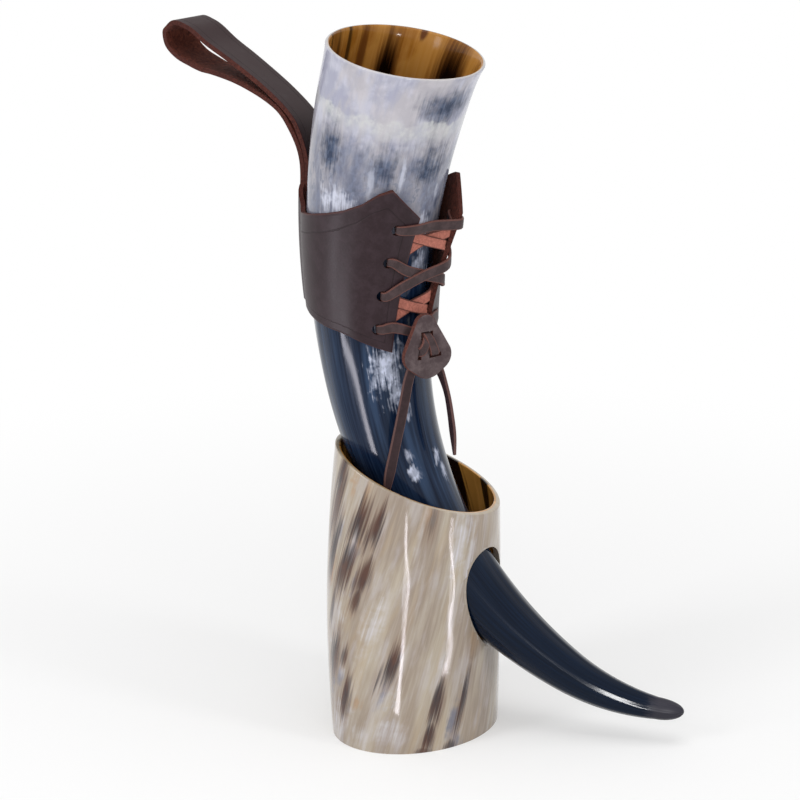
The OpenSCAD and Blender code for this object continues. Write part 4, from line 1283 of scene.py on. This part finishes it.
def flesh_side(name, dark_tone, light_tone, fibre=0.0006):
    m, t, give = new_material(name, Specular_IOR_Level=0.1, Sheen_Weight=0.03, Sheen_Roughness=0.5)
    place = t.here()
    pile = t.use(leather_fibre, Place=place, Fibre_size=fibre)
    color = t.mix(pile["Fuzz"], dark_tone, light_tone)
    color = t.mix(t.step(t.noise(place, 40.0, 3.0, 0.6), 0.35, 0.7, 0.0, 0.4), color, dark_tone)
    give(Base_Color=color, Roughness=t.plus(0.75, t.times(pile["Height"], 0.2)),
         Normal=bump(t, pile["Height"], 0.5, 0.0004))
    return m


# %% Leather materials of the holster and the toggle
holster_materials = [grain_side("holster_grain", tone(43, 30, 34), tone(54, 41, 46), 0.34, True),
                     flesh_side("holster_flesh", tone(66, 30, 23), tone(120, 64, 49)),
                     flesh_side("holster_edge", tone(56, 30, 27), tone(92, 50, 42), 0.0004)]
toggle_materials = [grain_side("toggle_grain", tone(70, 57, 59), tone(98, 85, 86), 0.3),
                    flesh_side("toggle_edge", tone(70, 40, 36), tone(108, 66, 58), 0.0004)]
print("leather sides", [m.name for m in holster_materials + toggle_materials])

# %% [markdown]
# The lace shows a different side on each run: waxed grain outside and pinkish flesh inside. A
# note on its mesh tells the two sides and the cut edges apart.

# %% Lace material
def shaded(color, share):
    """A colour made brighter or darker."""
    return tuple(c * share for c in color[:3]) + (1,)


def lace_leather(name, grain_tone, flesh_tone, edge_tone):
    m, t, give = new_material(name, Specular_IOR_Level=0.2)
    place = t.here()
    across, face, _ = t.split(t.attribute("grain"))
    flesh = t.step(face, 0.2, -0.4)
    pile = t.use(leather_fibre, Place=place, Fibre_size=0.0005)
    skin = t.use(leather_grain, Place=place, Pore_size=0.0007)
    top = t.mix(t.step(skin["Mottle"], 0.35, 0.7), grain_tone, shaded(grain_tone, 1.7))
    under = t.mix(pile["Fuzz"], shaded(flesh_tone, 0.65), flesh_tone)
    color = t.mix(flesh, top, under)
    side = t.times(t.step(t.math("ABSOLUTE", across), 0.92, 0.99), 0.92)
    color = t.mix(side, color, edge_tone)
    rough = t.mix(flesh, (0.45, 0.45, 0.45, 1), (0.85, 0.85, 0.85, 1))
    height = t.plus(t.times(pile["Height"], flesh), t.times(skin["Height"], 0.2))
    give(Base_Color=color, Roughness=rough, Normal=bump(t, height, 0.4, 0.0003))
    return m


lace_material = lace_leather("lace_leather", tone(56, 44, 45), tone(186, 117, 102), tone(98, 63, 57))
tail_material = lace_leather("tail_leather", tone(44, 30, 32), tone(90, 58, 52), tone(92, 66, 63))
print("lace", len(lace_material.node_tree.nodes), "nodes")

# %% [markdown]
# ## Brass
# The rivets are guessed from such holsters: domed brass, dulled in its scratches.

# %% Brass material
brass, t, give = new_material("old_brass", Metallic=1.0)
place = t.here()
stain = t.noise(place, 500.0, 4.0, 0.6)
scratch = t.noise(t.vec("MULTIPLY", place, (4000, 500, 900)), 1.0, 2.0, 0.5)
give(Base_Color=t.mix(t.step(stain, 0.4, 0.7), tone(196, 160, 92), tone(132, 98, 52)),
     Roughness=t.step(stain, 0.3, 0.8, 0.22, 0.5), Normal=bump(t, scratch, 0.15, 0.0001))
print("brass", len(brass.node_tree.nodes), "nodes")

# %% [markdown]
# ## Each piece takes its material and its place
# A piece rides on the body that it moves with, and hides the node of the solid model that it
# stands in for.

# %% Dress the pieces
for face in toggle.data.polygons:
    face.material_index = 0 if abs(face.normal.dot(toggle_n)) > 0.9 else 1
finish_piece(horn, "horn", "horn_dark", [horn_polish], "drinking_horn")
finish_piece(stand, "stand", "horn_pale", [stand_polish], "horn_stand")
finish_piece(holster, "holster", "leather_dark", holster_materials, "holster")
finish_piece(rivets, "holster", "rivet_brass", [brass], "loop_rivets")
finish_piece(lace, "holster", "leather_lace", [lace_material], "lace")
finish_piece(toggle, "holster", "leather_grey", toggle_materials, "lace_toggle")
for side in ("left", "right"):
    finish_piece(tails[side], "holster", "leather_lace", [tail_material], "lace_tail_" + side)

# %% [markdown]
# ## Studio
# A pale floor and white surroundings, as in a catalogue picture. Far from the object the floor
# glows white for the camera and for mirror images alone, so it keeps the shadow near the foot and
# gives no extra light.

# %% Floor and world
def shown_rays(t):
    """1 for what the camera sees straight, in a mirror or through glass."""
    path = t.add("LightPath").outputs
    return t.most(t.most(path["Is Camera Ray"], path["Is Glossy Ray"]), path["Is Transmission Ray"])


floor_half, shadow_r, white_r = 6, 0.12, 0.5
floor_bm = bmesh.new()
bmesh.ops.create_grid(floor_bm, x_segments=1, y_segments=1, size=floor_half)
floor = new_piece("floor", floor_bm)
paper, t, _ = new_material("floor_paper", Base_Color=(0.9, 0.9, 0.9, 1), Roughness=0.9,
                           Specular_IOR_Level=0.1)
far = t.step(t.vec("LENGTH", t.here()), shadow_r, white_r, 0.35, 1.0)
glow = t.add("Emission", {"Color": (1, 1, 1, 1), "Strength": 1.0}).outputs[0]
surface = paper.node_tree.nodes["Principled BSDF"].outputs[0]
blend = t.add("MixShader", {0: t.times(far, shown_rays(t)), 1: surface, 2: glow}).outputs[0]
paper.node_tree.links.new(blend, paper.node_tree.nodes["Material Output"].inputs["Surface"])
floor.data.materials.append(paper)
world = bpy.data.worlds.new("studio")
bpy.context.scene.world = world
world.use_nodes = True
w = Tree(world.node_tree)
background = world.node_tree.nodes["Background"]
background.inputs["Color"].default_value = (1, 1, 1, 1)
world.node_tree.links.new(w.plus(0.5, w.times(shown_rays(w), 0.5)), background.inputs["Strength"])

# %% [markdown]
# Soft lamps light all of the set. Long, narrow softboxes lie on the floor besides, so that the
# polished walls show them as thin bright lines. Each of these shows on one piece alone.

# %% Lamps
def softbox(name, at, look, size, power, gloss_only=False):
    data = bpy.data.lights.new(name, "AREA")
    data.shape = "RECTANGLE"
    data.size, data.size_y = size
    data.energy = power
    lamp = bpy.data.objects.new(name, data)
    bpy.context.scene.collection.objects.link(lamp)
    lamp.location = at
    lamp.rotation_euler = (Vector(look) - Vector(at)).to_track_quat("-Z", "Y").to_euler()
    lamp.visible_camera = False
    if gloss_only:
        lamp.visible_diffuse = False
    return lamp


def only_on(lamp, *pieces):
    """The lamp shows on these pieces alone, as a flagged strip of studio light does."""
    shown_on = bpy.data.collections.new(lamp.name + "_shows_on")
    for piece in pieces:
        shown_on.objects.link(piece)
    lamp.light_linking.receiver_collection = shown_on


def floor_line(name, marks, glow, piece):
    """Narrow softboxes end to end on the floor, pointing up, that show only in one polished piece.

    A mark is a place on the floor and the line's width there.
    """
    for i, (x0, y0, w0) in enumerate(marks[:-1]):
        x1, y1, w1 = marks[i + 1]
        at = Vector(((x0 + x1) / 2, (y0 + y1) / 2, 0.002))
        length, width = hypot(x1 - x0, y1 - y0), (w0 + w1) / 2
        lamp = softbox(f"{name}_{i}", at, at + Z, (width, length), glow * pi * width * length, True)
        lamp.rotation_euler = (pi, 0, atan2(y1 - y0, x1 - x0) + pi / 2)
        lamp.data.color = (0.95, 0.92, 1)
        only_on(lamp, piece)


softbox("top", (0, -0.3, 1.6), (0, 0, 0.1), (1.2, 1.2), 10)
softbox("key", (-1.1, -1.1, 0.8), (0, 0, 0.16), (0.4, 1.0), 9)
fill = softbox("fill", (1.4, -0.6, 0.7), (0, 0, 0.16), (0.3, 1.2), 6)
fill.visible_glossy = False
by_camera = softbox("by_camera", (0.26, -1.5, 0.7), (0, 0, 0.16), (0.3, 0.3), 3)
by_camera.visible_glossy = False
floor_line("front_line", [(0.001, -0.084, 0.005), (0.026, -0.135, 0.008), (0.062, -0.222, 0.012),
                          (0.15, -0.40, 0.022)], 14, stand)
floor_line("right_line", [(0.100, -0.064, 0.005), (0.17, -0.075, 0.010), (0.37, -0.10, 0.02)], 13, stand)
floor_line("left_line", [(-0.11, -0.205, 0.05), (-0.37, -0.33, 0.05)], 26, horn)
floor_line("sleeve_line", [(-0.3, -0.21, 0.05), (-0.72, -0.52, 0.09)], 24, holster)
tip_box = softbox("tip_box", (0.41, -0.98, 0.195), (0.11, 0, 0.02), (0.09, 0.4), 9, True)
tip_box.rotation_euler.rotate_axis("Z", radians(-31))
only_on(tip_box, horn)
bpy.context.scene.view_settings.view_transform = "Standard"
print("lamps", len(bpy.data.lights))
